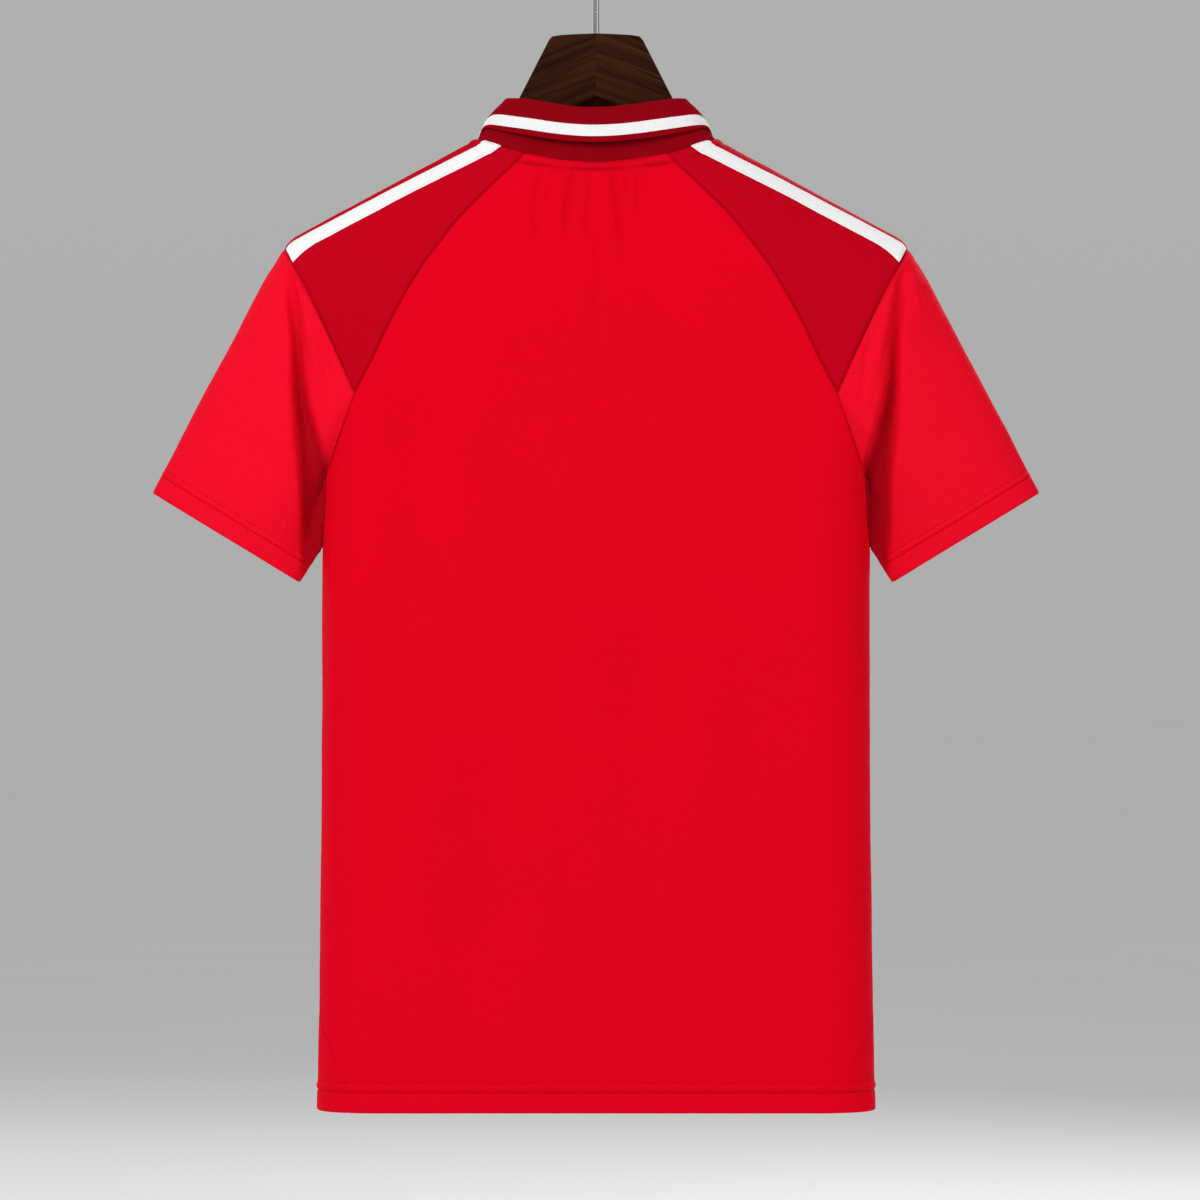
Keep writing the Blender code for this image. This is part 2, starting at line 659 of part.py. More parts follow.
def collar_section(degrees, hand):
    """Middle line of the collar's band at one turn: up the stand, over and down the fall."""
    turn = math.radians(degrees)
    face = +1 if degrees <= 90 else -1
    base_out = NECK_HALF * math.sin(turn)
    base = torso_point(base_out, neckline(base_out, face), face)
    base = base + Vector((0.0, 0.0, COLLAR_SEAM_LIFT))
    top_depth = COLLAR_TOP_BACK if face > 0 else COLLAR_TOP_FRONT
    top = Vector((COLLAR_TOP_HALF * math.sin(turn), top_depth * math.cos(turn),
                  table_at(COLLAR_FOLD_LEVELS, degrees, 1) - COLLAR_FOLD / 2.0
                  - COLLAR_WALL / 2.0))
    aside = Vector((math.sin(turn), math.cos(turn), 0.25)).normalized()
    edge_level, off_stand = (table_at(COLLAR_BACK, degrees, i) for i in (1, 2))
    by_stand = base.lerp(top, (edge_level - base.z) / (top.z - base.z)) + aside * off_stand
    edge_out, edge_level, edge_lift = (table_at(COLLAR_FRONT, degrees, i) for i in (1, 2, 3))
    on_cloth = torso_point(edge_out, min(edge_level, ridge_level(edge_out)), face,
                           edge_lift + COLLAR_WALL / 2.0)
    on_cloth.z = max(on_cloth.z, edge_level)
    edge = by_stand.lerp(on_cloth, smooth_step(degrees, *COLLAR_HANDOVER))
    fall_top = top + aside * COLLAR_FOLD
    centre = (top + fall_top) / 2.0
    line = [base.lerp(top, share) for share in STAND_SHARES]
    for fold_turn in FOLD_TURNS:
        angle = math.radians(fold_turn)
        line.append(centre - aside * (COLLAR_FOLD / 2.0 * math.cos(angle))
                    + Vector((0.0, 0.0, COLLAR_FOLD / 2.0 * math.sin(angle))))
    crown = mix(FALL_CROWN_BACK, FALL_CROWN_FRONT, smooth_step(degrees, 80, 150))
    crown += FALL_CROWN_SIDE * math.exp(-((degrees - SIDE_TURN) / SIDE_SPREAD) ** 2)
    for share in FALL_SHARES:
        bulge = 4.0 * share * (1.0 - share) * crown
        line.append(fall_top.lerp(edge, share) + aside * bulge)
    return [Vector((hand * p.x, p.y, p.z)) for p in line]


def collar(name, material, collection):
    sections = [collar_section(turn, -1) for turn in reversed(COLLAR_TURNS[1:])]
    sections += [collar_section(turn, +1) for turn in COLLAR_TURNS]
    normals = grid_normals(sections, closed=False)
    outer = offset_grid(sections, normals, COLLAR_WALL / 2.0)
    inner = offset_grid(sections, normals, -COLLAR_WALL / 2.0)
    return add_object(name, wall_mesh(name, outer, inner), material, collection)


# ---------------------------------------------------------------- placket and buttons

def placket_band(name, half_width, low, lift, material, collection):
    """A straight band on or under the front's middle, from the neckline down."""
    columns, rows = 4, 8
    grids = []
    for offset in (lift + TAPE, lift):
        grid = []
        for i in range(rows + 1):
            line = []
            for j in range(columns + 1):
                x = mix(-half_width, half_width, j / columns)
                z = mix(front_neckline(x) - 2.0 * GAP, low, i / rows)
                line.append(torso_point(x, z, -1, offset))
            grid.append(line)
        grids.append(grid)
    return add_object(name, wall_mesh(name, grids[0], grids[1]), material, collection)


def button(name, z, material, collection):
    """A turned button with a raised rim, lying on the placket."""
    radius, thickness = BUTTON_RADIUS, BUTTON_THICKNESS
    profile = ((0.0, 0.72 * thickness), (0.62 * radius, 0.72 * thickness),
               (0.78 * radius, thickness), (0.94 * radius, thickness),
               (radius, 0.80 * thickness), (0.94 * radius, 0.18 * thickness),
               (0.72 * radius, 0.0), (0.0, 0.0))
    mesh = bpy.data.meshes.new(name)
    edges = [(i, i + 1) for i in range(len(profile) - 1)]
    mesh.from_pydata([(out, 0.0, up) for out, up in profile], edges, [])
    piece = add_object(name, mesh, material, collection)
    turning = piece.modifiers.new("turning", "SCREW")
    turning.steps = 16
    turning.render_steps = 16
    turning.use_merge_vertices = True
    turning.merge_threshold = 0.00001
    seat = torso_point(0.0, z, -1, 2.0 * GAP + TAPE)
    piece.location = seat
    piece.rotation_euler = (math.radians(90), 0.0, 0.0)
    return piece


# ---------------------------------------------------------------- hanger

CORNER_POINTS = 4
FOOT_RADIUS = 0.0035


def hanger_section(out, top, under, depth, crown):
    """Outline of the wood at one distance out: a board with rounded top and foot corners."""
    front_under = min(under, NOTCH_FRONT_LEVEL) if out < NOTCH_HALF else under
    corners = ((+1, top - crown, crown), (-1, top - crown, crown),
               (-1, front_under + FOOT_RADIUS, FOOT_RADIUS),
               (+1, under + FOOT_RADIUS, FOOT_RADIUS))
    points = []
    for quarter, (side, centre_level, radius) in enumerate(corners):
        for step in range(CORNER_POINTS):
            angle = math.pi / 2.0 * (quarter + step / (CORNER_POINTS - 1))
            points.append(Vector((out, side * (depth - radius) + radius * math.cos(angle),
                                  centre_level + radius * math.sin(angle))))
    return points


def hanger_half(name, hand, material, collection):
    """One mitred half: the board of the head, running out into a rounded arm."""
    sections = []
    for out, top, under, depth, crown in HANGER:
        if top == 0.0:
            top = ridge_level(out) - (CLOTH + HANGER_CLEARANCE) / math.cos(RIDGE_ANGLE)
        sections.append(hanger_section(out, top, under, depth, crown))
    shape = bmesh.new()
    rings = [[shape.verts.new((hand * p.x, p.y, p.z)) for p in section] for section in sections]
    count = len(rings[0])
    for before, after in zip(rings, rings[1:]):
        for i in range(count):
            j = (i + 1) % count
            shape.faces.new((before[i], before[j], after[j], after[i]))
    shape.faces.new(rings[0])
    shape.faces.new(rings[-1])
    bmesh.ops.recalc_face_normals(shape, faces=shape.faces)
    mesh = bpy.data.meshes.new(name)
    shape.to_mesh(mesh)
    shape.free()
    return add_object(name, mesh, material, collection)


def hook_route():
    """Middle of the wire: a straight stem, a turn aside and an arc over the rail."""
    eye_level = WIRE_RADIUS - HOOK_RADIUS
    reach = HOOK_RADIUS + HOOK_NECK_RADIUS
    neck_level = eye_level - math.sqrt(reach ** 2 - HOOK_NECK_RADIUS ** 2)
    lean = math.asin(HOOK_NECK_RADIUS / reach)
    head_top = HANGER[0][1]
    route = [(0.0, mix(head_top + GAP, neck_level, i / 3)) for i in range(3)]
    for i in range(6):
        angle = math.pi - (math.pi / 2.0 - lean) * i / 6
        route.append((HOOK_NECK_RADIUS + HOOK_NECK_RADIUS * math.cos(angle),
                      neck_level + HOOK_NECK_RADIUS * math.sin(angle)))
    first = lean - math.pi / 2.0
    for i in range(31):
        angle = mix(first, HOOK_END_TURN, i / 30)
        route.append((HOOK_RADIUS * math.cos(angle), eye_level + HOOK_RADIUS * math.sin(angle)))
    return route


def hook(name, material, collection):
    data = bpy.data.curves.new(name, "CURVE")
    data.dimensions = "3D"
    data.bevel_depth = WIRE_RADIUS
    data.bevel_resolution = 2
    data.use_fill_caps = True
    data.materials.append(material)
    route = hook_route()
    wire = data.splines.new("POLY")
    wire.points.add(len(route) - 1)
    for point, (x, z) in zip(wire.points, route):
        point.co = (x, 0.0, z, 1.0)
    piece = bpy.data.objects.new(name, data)
    collection.objects.link(piece)
    return piece


# ---------------------------------------------------------------- the whole object

def main():
    for item in list(bpy.data.objects):
        bpy.data.objects.remove(item, do_unlink=True)
    collection = bpy.data.collections.new("training_polo_shirt")
    bpy.context.scene.collection.children.link(collection)
    finish = {name: new_material(name) for name in FINISHES}

    body_panel("back_panel", +1, finish["red_jersey"], collection)
    body_panel("front_panel", -1, finish["red_jersey"], collection)
    for side, hand in (("left", +1), ("right", -1)):
        shoulder_panel("shoulder_panel_" + side, hand, finish["dark_jersey"], collection)
        shoulder_tape("shoulder_stripe_" + side, hand, finish["white_tape"], collection)
        sleeve("sleeve_" + side, hand, finish["red_jersey"], collection)
        hanger_half("hanger_" + side, hand, finish["walnut"], collection)
    collar("collar", finish["rib_knit"], collection)
    placket_band("placket_over", PLACKET_HALF, PLACKET_LOW - 0.008, GAP,
                 finish["red_jersey"], collection)
    placket_band("placket_under", PLACKET_HALF - 0.0015, PLACKET_LOW - 0.004,
                 -(CLOTH + GAP + TAPE), finish["red_jersey"], collection)
    for level_name, z in BUTTON_LEVELS:
        button("button_" + level_name, z, finish["button_red"], collection)
    hook("hook", finish["chrome_wire"], collection)


main()
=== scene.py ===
# %% [markdown]
# # A training polo shirt on a wooden hanger
#
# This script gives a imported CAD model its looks: a short-sleeved polo of thin red jersey that
# hangs on a walnut hanger, with its back to the camera. The first cell loads the CAD model as
# a fixed frame. Each later cell makes one finer piece in the same place, in metres, with +Z
# up, the wearer's back towards +Y and the wearer's left towards +X.

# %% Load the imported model
import math

import bmesh
import bpy
import numpy as np
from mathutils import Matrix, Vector, kdtree, noise
from mathutils.bvhtree import BVHTree


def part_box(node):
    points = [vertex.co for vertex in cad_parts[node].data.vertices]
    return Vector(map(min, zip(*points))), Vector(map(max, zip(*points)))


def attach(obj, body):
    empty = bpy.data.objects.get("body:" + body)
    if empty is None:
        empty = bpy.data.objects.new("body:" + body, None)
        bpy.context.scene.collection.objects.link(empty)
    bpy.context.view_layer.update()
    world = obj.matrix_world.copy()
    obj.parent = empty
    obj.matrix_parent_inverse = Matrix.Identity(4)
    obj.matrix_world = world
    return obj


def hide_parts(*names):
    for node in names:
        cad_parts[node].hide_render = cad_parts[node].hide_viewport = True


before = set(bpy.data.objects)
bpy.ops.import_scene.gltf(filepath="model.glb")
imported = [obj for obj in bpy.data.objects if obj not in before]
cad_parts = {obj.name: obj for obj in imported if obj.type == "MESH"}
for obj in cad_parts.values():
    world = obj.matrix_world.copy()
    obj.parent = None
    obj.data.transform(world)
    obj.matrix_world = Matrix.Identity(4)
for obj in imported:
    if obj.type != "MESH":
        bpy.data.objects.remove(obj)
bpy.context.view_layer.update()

# %% [markdown]
# ## Camera and light
#
# Clothes are shown from far away through a long lens, so that the hem, the shoulders and the
# cuffs keep their true proportions. The lens follows from the distance and the width of the
# picture. The sky is a soft grey that grows lighter overhead. Two large area lights on each
# side of the shirt play the part of studio softboxes.

# %% Camera and light
CAMERA_DISTANCE = 4.5
PICTURE_WIDTH = 0.8932            # metres across the picture, at the shirt
CAMERA_AIM = Vector((-0.0030, 0.0, -0.4913))
HORIZON_GREY, ZENITH_GREY = 0.42, 0.56
SHIRT_MIDDLE = Vector((0.0, 0.0, -0.45))
# Place, size and power of the lights behind the back. The front gets the same two.
SOFTBOXES = {"key": ((0.95, 1.9, 0.75), 1.1, 28.4), "fill": ((-2.3, 2.0, 0.4), 1.6, 12.0)}

scene = bpy.context.scene
scene.view_settings.view_transform = "Standard"


def add_object(name, data):
    item = bpy.data.objects.new(name, data)
    scene.collection.objects.link(item)
    return item


def add_node(tree, kind, inputs=(), **settings):
    """Add a node. Each input is a socket to link or a plain value."""
    node = tree.nodes.new(kind)
    for key, value in settings.items():
        setattr(node, key, value)
    for key, value in dict(inputs).items():
        if isinstance(value, bpy.types.NodeSocket):
            tree.links.new(value, node.inputs[key])
        else:
            node.inputs[key].default_value = value
    return node


def split(tree, vector):
    """The X, Y and Z sockets of a vector."""
    return tuple(add_node(tree, "ShaderNodeSeparateXYZ", {"Vector": vector}).outputs)


camera = add_object("camera", bpy.data.cameras.new("camera"))
camera.data.sensor_width = 36.0
camera.data.lens = camera.data.sensor_width * CAMERA_DISTANCE / PICTURE_WIDTH
camera.location = CAMERA_AIM + Vector((0.0, CAMERA_DISTANCE, 0.0))
camera.rotation_euler = (math.pi / 2.0, 0.0, math.pi)
scene.camera = camera

scene.world = bpy.data.worlds.new("studio_sky")
scene.world.use_nodes = True
sky = scene.world.node_tree
upward = split(sky, add_node(sky, "ShaderNodeTexCoord").outputs["Generated"])[2]
tone = add_node(sky, "ShaderNodeMapRange",
                {"Value": upward, "To Min": HORIZON_GREY, "To Max": ZENITH_GREY})
sky.links.new(tone.outputs["Result"], sky.nodes["Background"].inputs["Color"])

for side, facing in (("back", 1), ("front", -1)):
    for role, ((x, y, z), size, power) in SOFTBOXES.items():
        light = bpy.data.lights.new(role + "_" + side, "AREA")
        light.shape, light.size, light.energy = "SQUARE", size, power
        box = add_object(light.name, light)
        box.location = facing * x, facing * y, z
        box.rotation_euler = (SHIRT_MIDDLE - box.location).to_track_quat("-Z", "Y").to_euler()
        box.visible_camera = False
print("camera lens", round(camera.data.lens, 1), "mm")

# %% [markdown]
# ## The form that the cloth hangs on
#
# Every panel lies on one common form, so the panels meet at their seams without fitting. The
# torso is a flattened tube: its half depth is a function of the distance from the centre and
# the height. It is zero on the shoulder ridge and at the side, and grows inwards like a
# quarter of an ellipse. Tables hold the sections, and one function reads any table along a
# smooth curve. All the functions take whole arrays, because numpy then makes a panel of
# thirty thousand points in one call.

# %% The torso's form
NECK_HALF, NECK_LEVEL = 0.0885, -0.1479
BACK_NECK_DROP, FRONT_NECK_DROP = 0.0181, 0.0740
RIDGE_ANGLE = math.radians(28.4)
RIDGE_REACH, SIDE_REACH = 0.080, 0.045
RIDGE_TURN_OUT, RIDGE_TURN_DOWN = 0.2235, 58.0   # the ridge rounds down over the shoulder
SHOULDER_HALF = 0.2325
TIP_HALF, TIP_LEVEL = 0.1786, -0.3394
LOW_ARMHOLE_LEVEL, UNDERARM_LEVEL = -0.4012, -0.4520
HEM_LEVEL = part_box("back_panel")[0].z
QUARTER_TURN, FULL_TURN = math.pi / 2.0, 2.0 * math.pi

# Torso sections: height, half width and half depth.
TORSO = ((-0.1400, 0.2036, 0.0355), (-0.2300, 0.2036, 0.0365), (-0.3400, 0.2036, 0.0380),
         (-0.4500, 0.2036, 0.0395), (-0.6000, 0.2037, 0.0395), (-0.7500, 0.2053, 0.0380),
         (-0.8716, 0.2078, 0.0360))


def mix(start, end, share):
    return start + (end - start) * share


def smooth_step(value, low, high):
    """Run from 0 at low to 1 at high, flat at both ends."""
    share = np.clip((value - low) / (high - low), 0.0, 1.0)
    return share * share * (3.0 - 2.0 * share)


def bump_at(distance, centre, half_width, height=1.0):
    return height * np.exp(-((distance - centre) / half_width) ** 2)


def unit(vectors):
    return vectors / np.maximum(np.linalg.norm(vectors, axis=-1, keepdims=True), 1e-12)


def read_table(rows, keys, *columns):
    """Read columns of a table between its rows, along a smooth curve."""
    table = np.array(rows)
    table = table[np.argsort(table[:, 0])]
    known = table[:, 0]
    ends = np.clip(np.arange(len(known))[:, None] + [-1, 1], 0, len(known) - 1)
    keys = np.clip(keys, known[0], known[-1])
    index = np.clip(np.searchsorted(known, keys, side="right") - 1, 0, len(known) - 2)
    span = known[index + 1] - known[index]
    share = (keys - known[index]) / span
    rise = share * share * (3.0 - 2.0 * share)
    leave, arrive = share * (1.0 - share) ** 2, share * share * (share - 1.0)
    read = []
    for values in table.T[list(columns)]:
        slopes = np.diff(values[ends])[:, 0] / np.diff(known[ends])[:, 0]
        read.append(mix(values[index], values[index + 1], rise)
                    + span * (slopes[index] * leave + slopes[index + 1] * arrive))
    return read if len(read) > 1 else read[0]


def ridge_level(out):
    """Height of the shoulder ridge at a distance from the centre."""
    past_turn = np.maximum(np.abs(out) - RIDGE_TURN_OUT, 0.0)
    return (NECK_LEVEL - math.tan(RIDGE_ANGLE) * (np.abs(out) - NECK_HALF)
            - RIDGE_TURN_DOWN * past_turn ** 2)


def rounding(distance, reach):
    """Square of a quarter ellipse's height, from 0 at the edge to 1 at its reach."""
    share = np.clip(distance / reach, 0.0, 1.0)
    return share * (2.0 - share)


def form(x, z):
    """Square of the torso's half depth."""
    half_width, depth = read_table(TORSO, z, 1, 2)
    side = rounding(half_width - np.abs(x), SIDE_REACH)
    has_side = 1.0 - smooth_step(z, LOW_ARMHOLE_LEVEL, TIP_LEVEL + 0.02)
    below_ridge = (ridge_level(x) - z) * math.cos(RIDGE_ANGLE)
    return depth ** 2 * rounding(below_ridge, RIDGE_REACH) * mix(1.0, side, has_side)


print("half depth at the chest", round(math.sqrt(form(0.0, -0.45)), 4))

# %% [markdown]
# ## Creases
#
# Thin jersey that hangs free does not fall flat. Broad, shallow troughs run down from the
# shoulder blades to the hem, and short narrow gathers fan out below the collar seam, where
# the back panel was eased in. A simulation would put its folds where it likes, so these are
# listed: each row is a path through three points with a width and a depth. The real ones
# are uneven, so no two rows have the same length, depth or spacing.

# %% The crease tables
# A row is a face, then in millimetres three places from the top down, each a distance from
# the centre and a height, the half width and the depth. A negative depth stands out.
BROAD_CREASES = (
    (+1, 86, -194, 138, -432, 168, -789, 26, 1.8), (+1, 49, -432, 71, -610, 90, -826, 21, 1.9),
    (+1, -29, -462, -33, -640, -10, -848, 23, 2.3),
    (+1, -129, -285, -130, -331, -143, -410, 22, 1.2),
    (+1, -172, -680, -168, -760, -150, -850, 21, 2.1),
    (+1, 178, -690, 175, -760, 168, -852, 13, 1.4), (+1, 64, -215, 82, -300, 100, -470, 16, -.9),
    (+1, -78, -230, -92, -320, -80, -520, 20, -.9), (+1, 18, -420, 28, -600, 46, -840, 23, -1.1),
    (+1, -85, -500, -88, -660, -70, -850, 25, -1.1),
    (+1, 120, -600, 128, -720, 130, -852, 19, -1.2),
    (-1, -85, -240, -130, -470, -160, -800, 28, 2), (-1, 52, -420, 48, -620, 35, -860, 24, 2),
    (-1, 120, -300, 150, -500, 165, -760, 25, 1.8), (-1, -60, -520, -72, -680, -85, -860, 22, 1.8),
    (-1, -10, -430, -14, -630, -20, -850, 24, -1), (-1, 98, -560, 100, -700, 104, -855, 22, -1.2))

GATHERS = (
    (+1, 38.7, -166, 44.7, -200, 42.4, -238, 3.2, 1.5),
    (+1, 31.3, -166, 36.5, -199, 39.4, -214, 2.6, 1.0),
    (+1, 23.8, -166, 23.8, -178, 23.8, -188, 2.0, 0.7),
    (+1, 13.4, -166, 20.1, -193, 21.5, -230, 3.6, 2.2),
    (+1, 6.0, -166, 4.5, -190, 7.4, -228, 2.8, 1.5),
    (+1, 0.5, -205, 0.5, -260, 0.5, -345, 3.4, 0.8),
    (+1, -11.9, -166, -16.0, -200, -21.5, -246, 3.4, 2.2),
    (+1, -23.0, -166, -23.0, -182, -23.5, -198, 2.4, 1.0),
    (+1, -30.5, -168, -32.0, -199, -35.7, -218, 2.8, 1.2),
    (+1, -38.7, -170, -38.7, -185, -39.0, -199, 2.4, 0.7),
    (-1, 42.0, -225, 44.0, -260, 47.0, -300, 4.5, 0.8),
    (-1, -44.0, -225, -47.0, -255, -49.0, -285, 4.0, 0.7))

# Shares of its length over which a crease begins and fades.
CREASE_START, CREASE_END = (-0.12, 0.22), (0.62, 1.12)
NORMAL_STEP = 0.0002


def crease_depth(table, x, z, face):
    """How far a table's creases draw the cloth in at each place."""
    total = np.zeros(np.shape(x))
    for crease_face, *places, half_width, depth in table:
        path = np.reshape(places, (3, 2))[:, ::-1] / 1000
        share = (z - path[0, 0]) / (path[2, 0] - path[0, 0])
        ends = smooth_step(share, *CREASE_START) * (1.0 - smooth_step(share, *CREASE_END))
        total += (np.where(face == crease_face, depth / 1000, 0.0) * ends
                  * bump_at(x, read_table(path, z, 1), half_width / 1000))
    return total


def half_depth(x, z, face):
    """Half depth of the creased torso. The creases fade where the form closes."""
    square = np.maximum(form(x, z), 0.0)
    full = read_table(TORSO, z, 2) ** 2
    return np.sqrt(square) - crease_depth(BROAD_CREASES, x, z, face) * square / full


def torso_normal(x, z, face):
    """Outward direction of the plain form."""
    across, upward = ((form(x + dx, z + dz) - form(x - dx, z - dz)) / (2.0 * NORMAL_STEP)
                      for dx, dz in ((NORMAL_STEP, 0.0), (0.0, NORMAL_STEP)))
    outward = 2.0 * face * np.sqrt(np.maximum(form(x, z), 0.0))
    return unit(np.stack([-across, outward, -upward], axis=-1))


def torso_point(x, z, face, lift=0.0):
    """Points of the torso's face (+1 back, -1 front), moved out by lift."""
    x, z, face = np.broadcast_arrays(np.asarray(x, float), z, face)
    on_cloth = np.stack([x, face * half_depth(x, z, face), z], axis=-1)
    return on_cloth + torso_normal(x, z, face) * np.asarray(lift)[..., None]


print(len(BROAD_CREASES), "broad creases and", len(GATHERS), "gathers")

# %% [markdown]
# ## From two grids of points to a wall of cloth
#
# A panel is a solid wall of cloth. Its outer face is a grid of points, and its inner face is
# the same grid moved in along the normals. Writing both grids to a mesh and joining their
# open edges is quicker than a Solidify modifier and gives full control of the thickness,
# which doubles where the hem is folded. A middle row on the rim rounds the edge, as a fold in
# cloth is round. The UV map holds real lengths, so every panel has the same stitch.

# %% Cloth walls
RIM_ROUNDNESS = 0.45
PATH_STEP = 0.0005                # spacing of the samples when a distance to a path is sought


def grid_normals(grid, closed=False):
    """Unit directions square to a grid's rows and columns."""
    across = (np.roll(grid, -1, axis=1) - np.roll(grid, 1, axis=1) if closed
              else np.gradient(grid, axis=1))
    return unit(np.cross(np.gradient(grid, axis=0), across))


def grid_quads(rows, columns, closed, keep=None):
    number = np.arange(rows * columns).reshape(rows, columns)
    if closed:
        number = np.hstack([number, number[:, :1]])
    quads = np.stack([number[:-1, :-1], number[:-1, 1:], number[1:, 1:], number[1:, :-1]], axis=-1)
    return quads[keep] if keep is not None else quads.reshape(-1, 4)


def finish_mesh(name, points, faces, material=None, cloth_lengths=None, sharp_angle=50.0):
    """A smooth piece whose faces point outwards, with an optional UV map in metres."""
    mesh = bpy.data.meshes.new(name)
    mesh.from_pydata(np.asarray(points).tolist(), [], faces)
    if cloth_lengths is not None:
        corners = np.empty(len(mesh.loops), dtype=np.int32)
        mesh.loops.foreach_get("vertex_index", corners)
        layer = mesh.uv_layers.new(name="cloth")
        layer.data.foreach_set("uv", np.asarray(cloth_lengths, np.float32)[corners].ravel())
    shape = bmesh.new()
    shape.from_mesh(mesh)
    bmesh.ops.recalc_face_normals(shape, faces=shape.faces)
    shape.to_mesh(mesh)
    shape.free()
    mesh.shade_smooth()
    mesh.set_sharp_from_angle(angle=math.radians(sharp_angle))
    if material:
        mesh.materials.append(material)
    return add_object(name, mesh)


def cloth_wall(name, outer, inner, lengths, material=None, closed=False, keep=None, marks=()):
    """Close an outer and an inner grid into one wall with a rounded rim."""
    count = outer.shape[0] * outer.shape[1]
    quads = grid_quads(*outer.shape[:2], closed, keep)
    outer, inner = outer.reshape(-1, 3), inner.reshape(-1, 3)
    sides = np.stack([quads, np.roll(quads, -1, axis=1)], axis=-1).reshape(-1, 2)
    is_rim = ~np.isin(sides[:, 0] * count + sides[:, 1], sides[:, 1] * count + sides[:, 0])
    rim, owner = sides[is_rim], np.repeat(quads, 4, axis=0)[is_rim]
    start, end = rim.T
    along = unit(outer[end] - outer[start])
    outward = outer[rim].mean(axis=1) - outer[owner].mean(axis=1)
    outward = unit(outward - along * (outward * along).sum(axis=1, keepdims=True))
    push = np.zeros((count, 3))
    np.add.at(push, rim.ravel(), np.repeat(outward, 2, axis=0))
    on_rim = np.unique(rim)
    thickness = np.linalg.norm(outer[on_rim] - inner[on_rim], axis=1, keepdims=True)
    middle = ((outer[on_rim] + inner[on_rim]) / 2.0
              + unit(push[on_rim]) * thickness * RIM_ROUNDNESS)
    row_of = np.full(count, -1)
    row_of[on_rim] = 2 * count + np.arange(len(on_rim))
    faces = np.vstack([quads, quads[:, ::-1] + count,
                       np.stack([end, start, row_of[start], row_of[end]], axis=1),
                       np.stack([row_of[end], row_of[start], start + count, end + count], axis=1)])
    used, number = np.unique(faces, return_inverse=True)
    copied = np.concatenate([np.arange(count), np.arange(count), on_rim])[used]
    piece = finish_mesh(name, np.vstack([outer, inner, middle])[used],
                        number.reshape(-1, 4).tolist(), material, lengths.reshape(-1, 2)[copied])
    for mark, values in dict(marks).items():
        layer = piece.data.attributes.new(mark, "FLOAT", "POINT")
        layer.data.foreach_set("value", values.ravel()[copied].astype(np.float32))
    print(name, len(piece.data.polygons), "faces")
    return piece


def walk_along(path):
    """Distance walked along a path at each of its points."""
    return np.concatenate([[0.0], np.cumsum(np.linalg.norm(np.diff(path, axis=0), axis=1))])


def walk_across(grid):
    """Distance walked along each row of a grid."""
    steps = np.diff(grid, axis=1, prepend=grid[:, :1])
    return np.cumsum(np.linalg.norm(steps, axis=-1), axis=1)


def nearest_on(path, points):
    """For each point, its distance to a path and how far along the path that is."""
    walked = walk_along(path)
    fine = np.arange(0.0, walked[-1], PATH_STEP)
    tree = kdtree.KDTree(len(fine))
    for index, place in enumerate(np.stack([np.interp(fine, walked, axis) for axis in path.T], 1)):
        tree.insert(place, index)
    tree.balance()
    found = [tree.find(point)[1:] for point in points.reshape(-1, 3)]
    index, distance = (np.array(values).reshape(points.shape[:-1]) for values in zip(*found))
    return distance, fine[index]


print("the rim stands out by", RIM_ROUNDNESS, "of the cloth's thickness")

# %% [markdown]
# ## Seams, hems and small unevenness
#
# Two panels meet in a narrow groove, with a soft swelling beside it where the seam allowance
# lies underneath, and the thread draws the cloth into small puckers. A twin-needle hem has
# two rows of stitches that sink in, with a plump roll between them. All of this is relief: a
# height at each point of the grid, from that point's distance to the seam. The same distance
# is kept as an attribute, so that the material can paint shade inside the seam.

# %% Seam and hem relief
CLOTH = 0.0012
SEAM_OVERLAP = 0.0003
HEM_LINES = (0.0145, 0.0218)      # height of the two needle lines above the body's hem
CUFF_LINES = (0.0135, 0.0188)
FOLDED_EDGE = 0.0016              # how far the folded cloth takes to reach its full height
FOLD_HEIGHT, ROLL_HEIGHT = 0.00042, 0.00105
# Bumps are written as the distance of their middle, their half width and their height.
SEAM_GROOVE, SEAM_SWELLING = (0.0, 0.0010, -0.00075), (0.0042, 0.0026, 0.00028)
SEAM_PAINTED_SHADE = (0.0, 0.0011)         # painted shade along a seam's groove, and along the needle holes
NEEDLE_PAINTED_SHADE = (0.0, 0.0010)
# Pitch along the seam, how far it reaches from it and its height.
PUCKER_PITCH, PUCKER_REACH, PUCKER_HEIGHT = 0.0105, 0.006, 0.00010
ROPING_PITCH, ROPING_REACH, ROPING_HEIGHT = 0.0088, 0.0040, 0.00006
NOISE_GAIN = 1.6                  # the plain noise seldom goes past 0.6


def wander(points, scale, seed):
    """Smooth unevenness between -1 and 1."""
    flat = points.reshape(-1, 3) * scale + seed
    values = np.array([noise.noise(place) for place in flat.tolist()]) * NOISE_GAIN
    return values.reshape(points.shape[:-1])


def unevenness(points, broad, fine, scales, seed):
    return broad * wander(points, scales[0], seed) + fine * wander(points, scales[1], seed)


def seam_relief(distance, along, seed):
    """Height beside a seam: a groove, the allowance's swelling and puckers."""
    pucker = np.sin(along / PUCKER_PITCH * FULL_TURN + 3.0 * np.sin(along / 0.037 + seed))
    return (bump_at(distance, *SEAM_GROOVE) + bump_at(distance, *SEAM_SWELLING)
            + PUCKER_HEIGHT * pucker * np.exp(-distance / PUCKER_REACH))


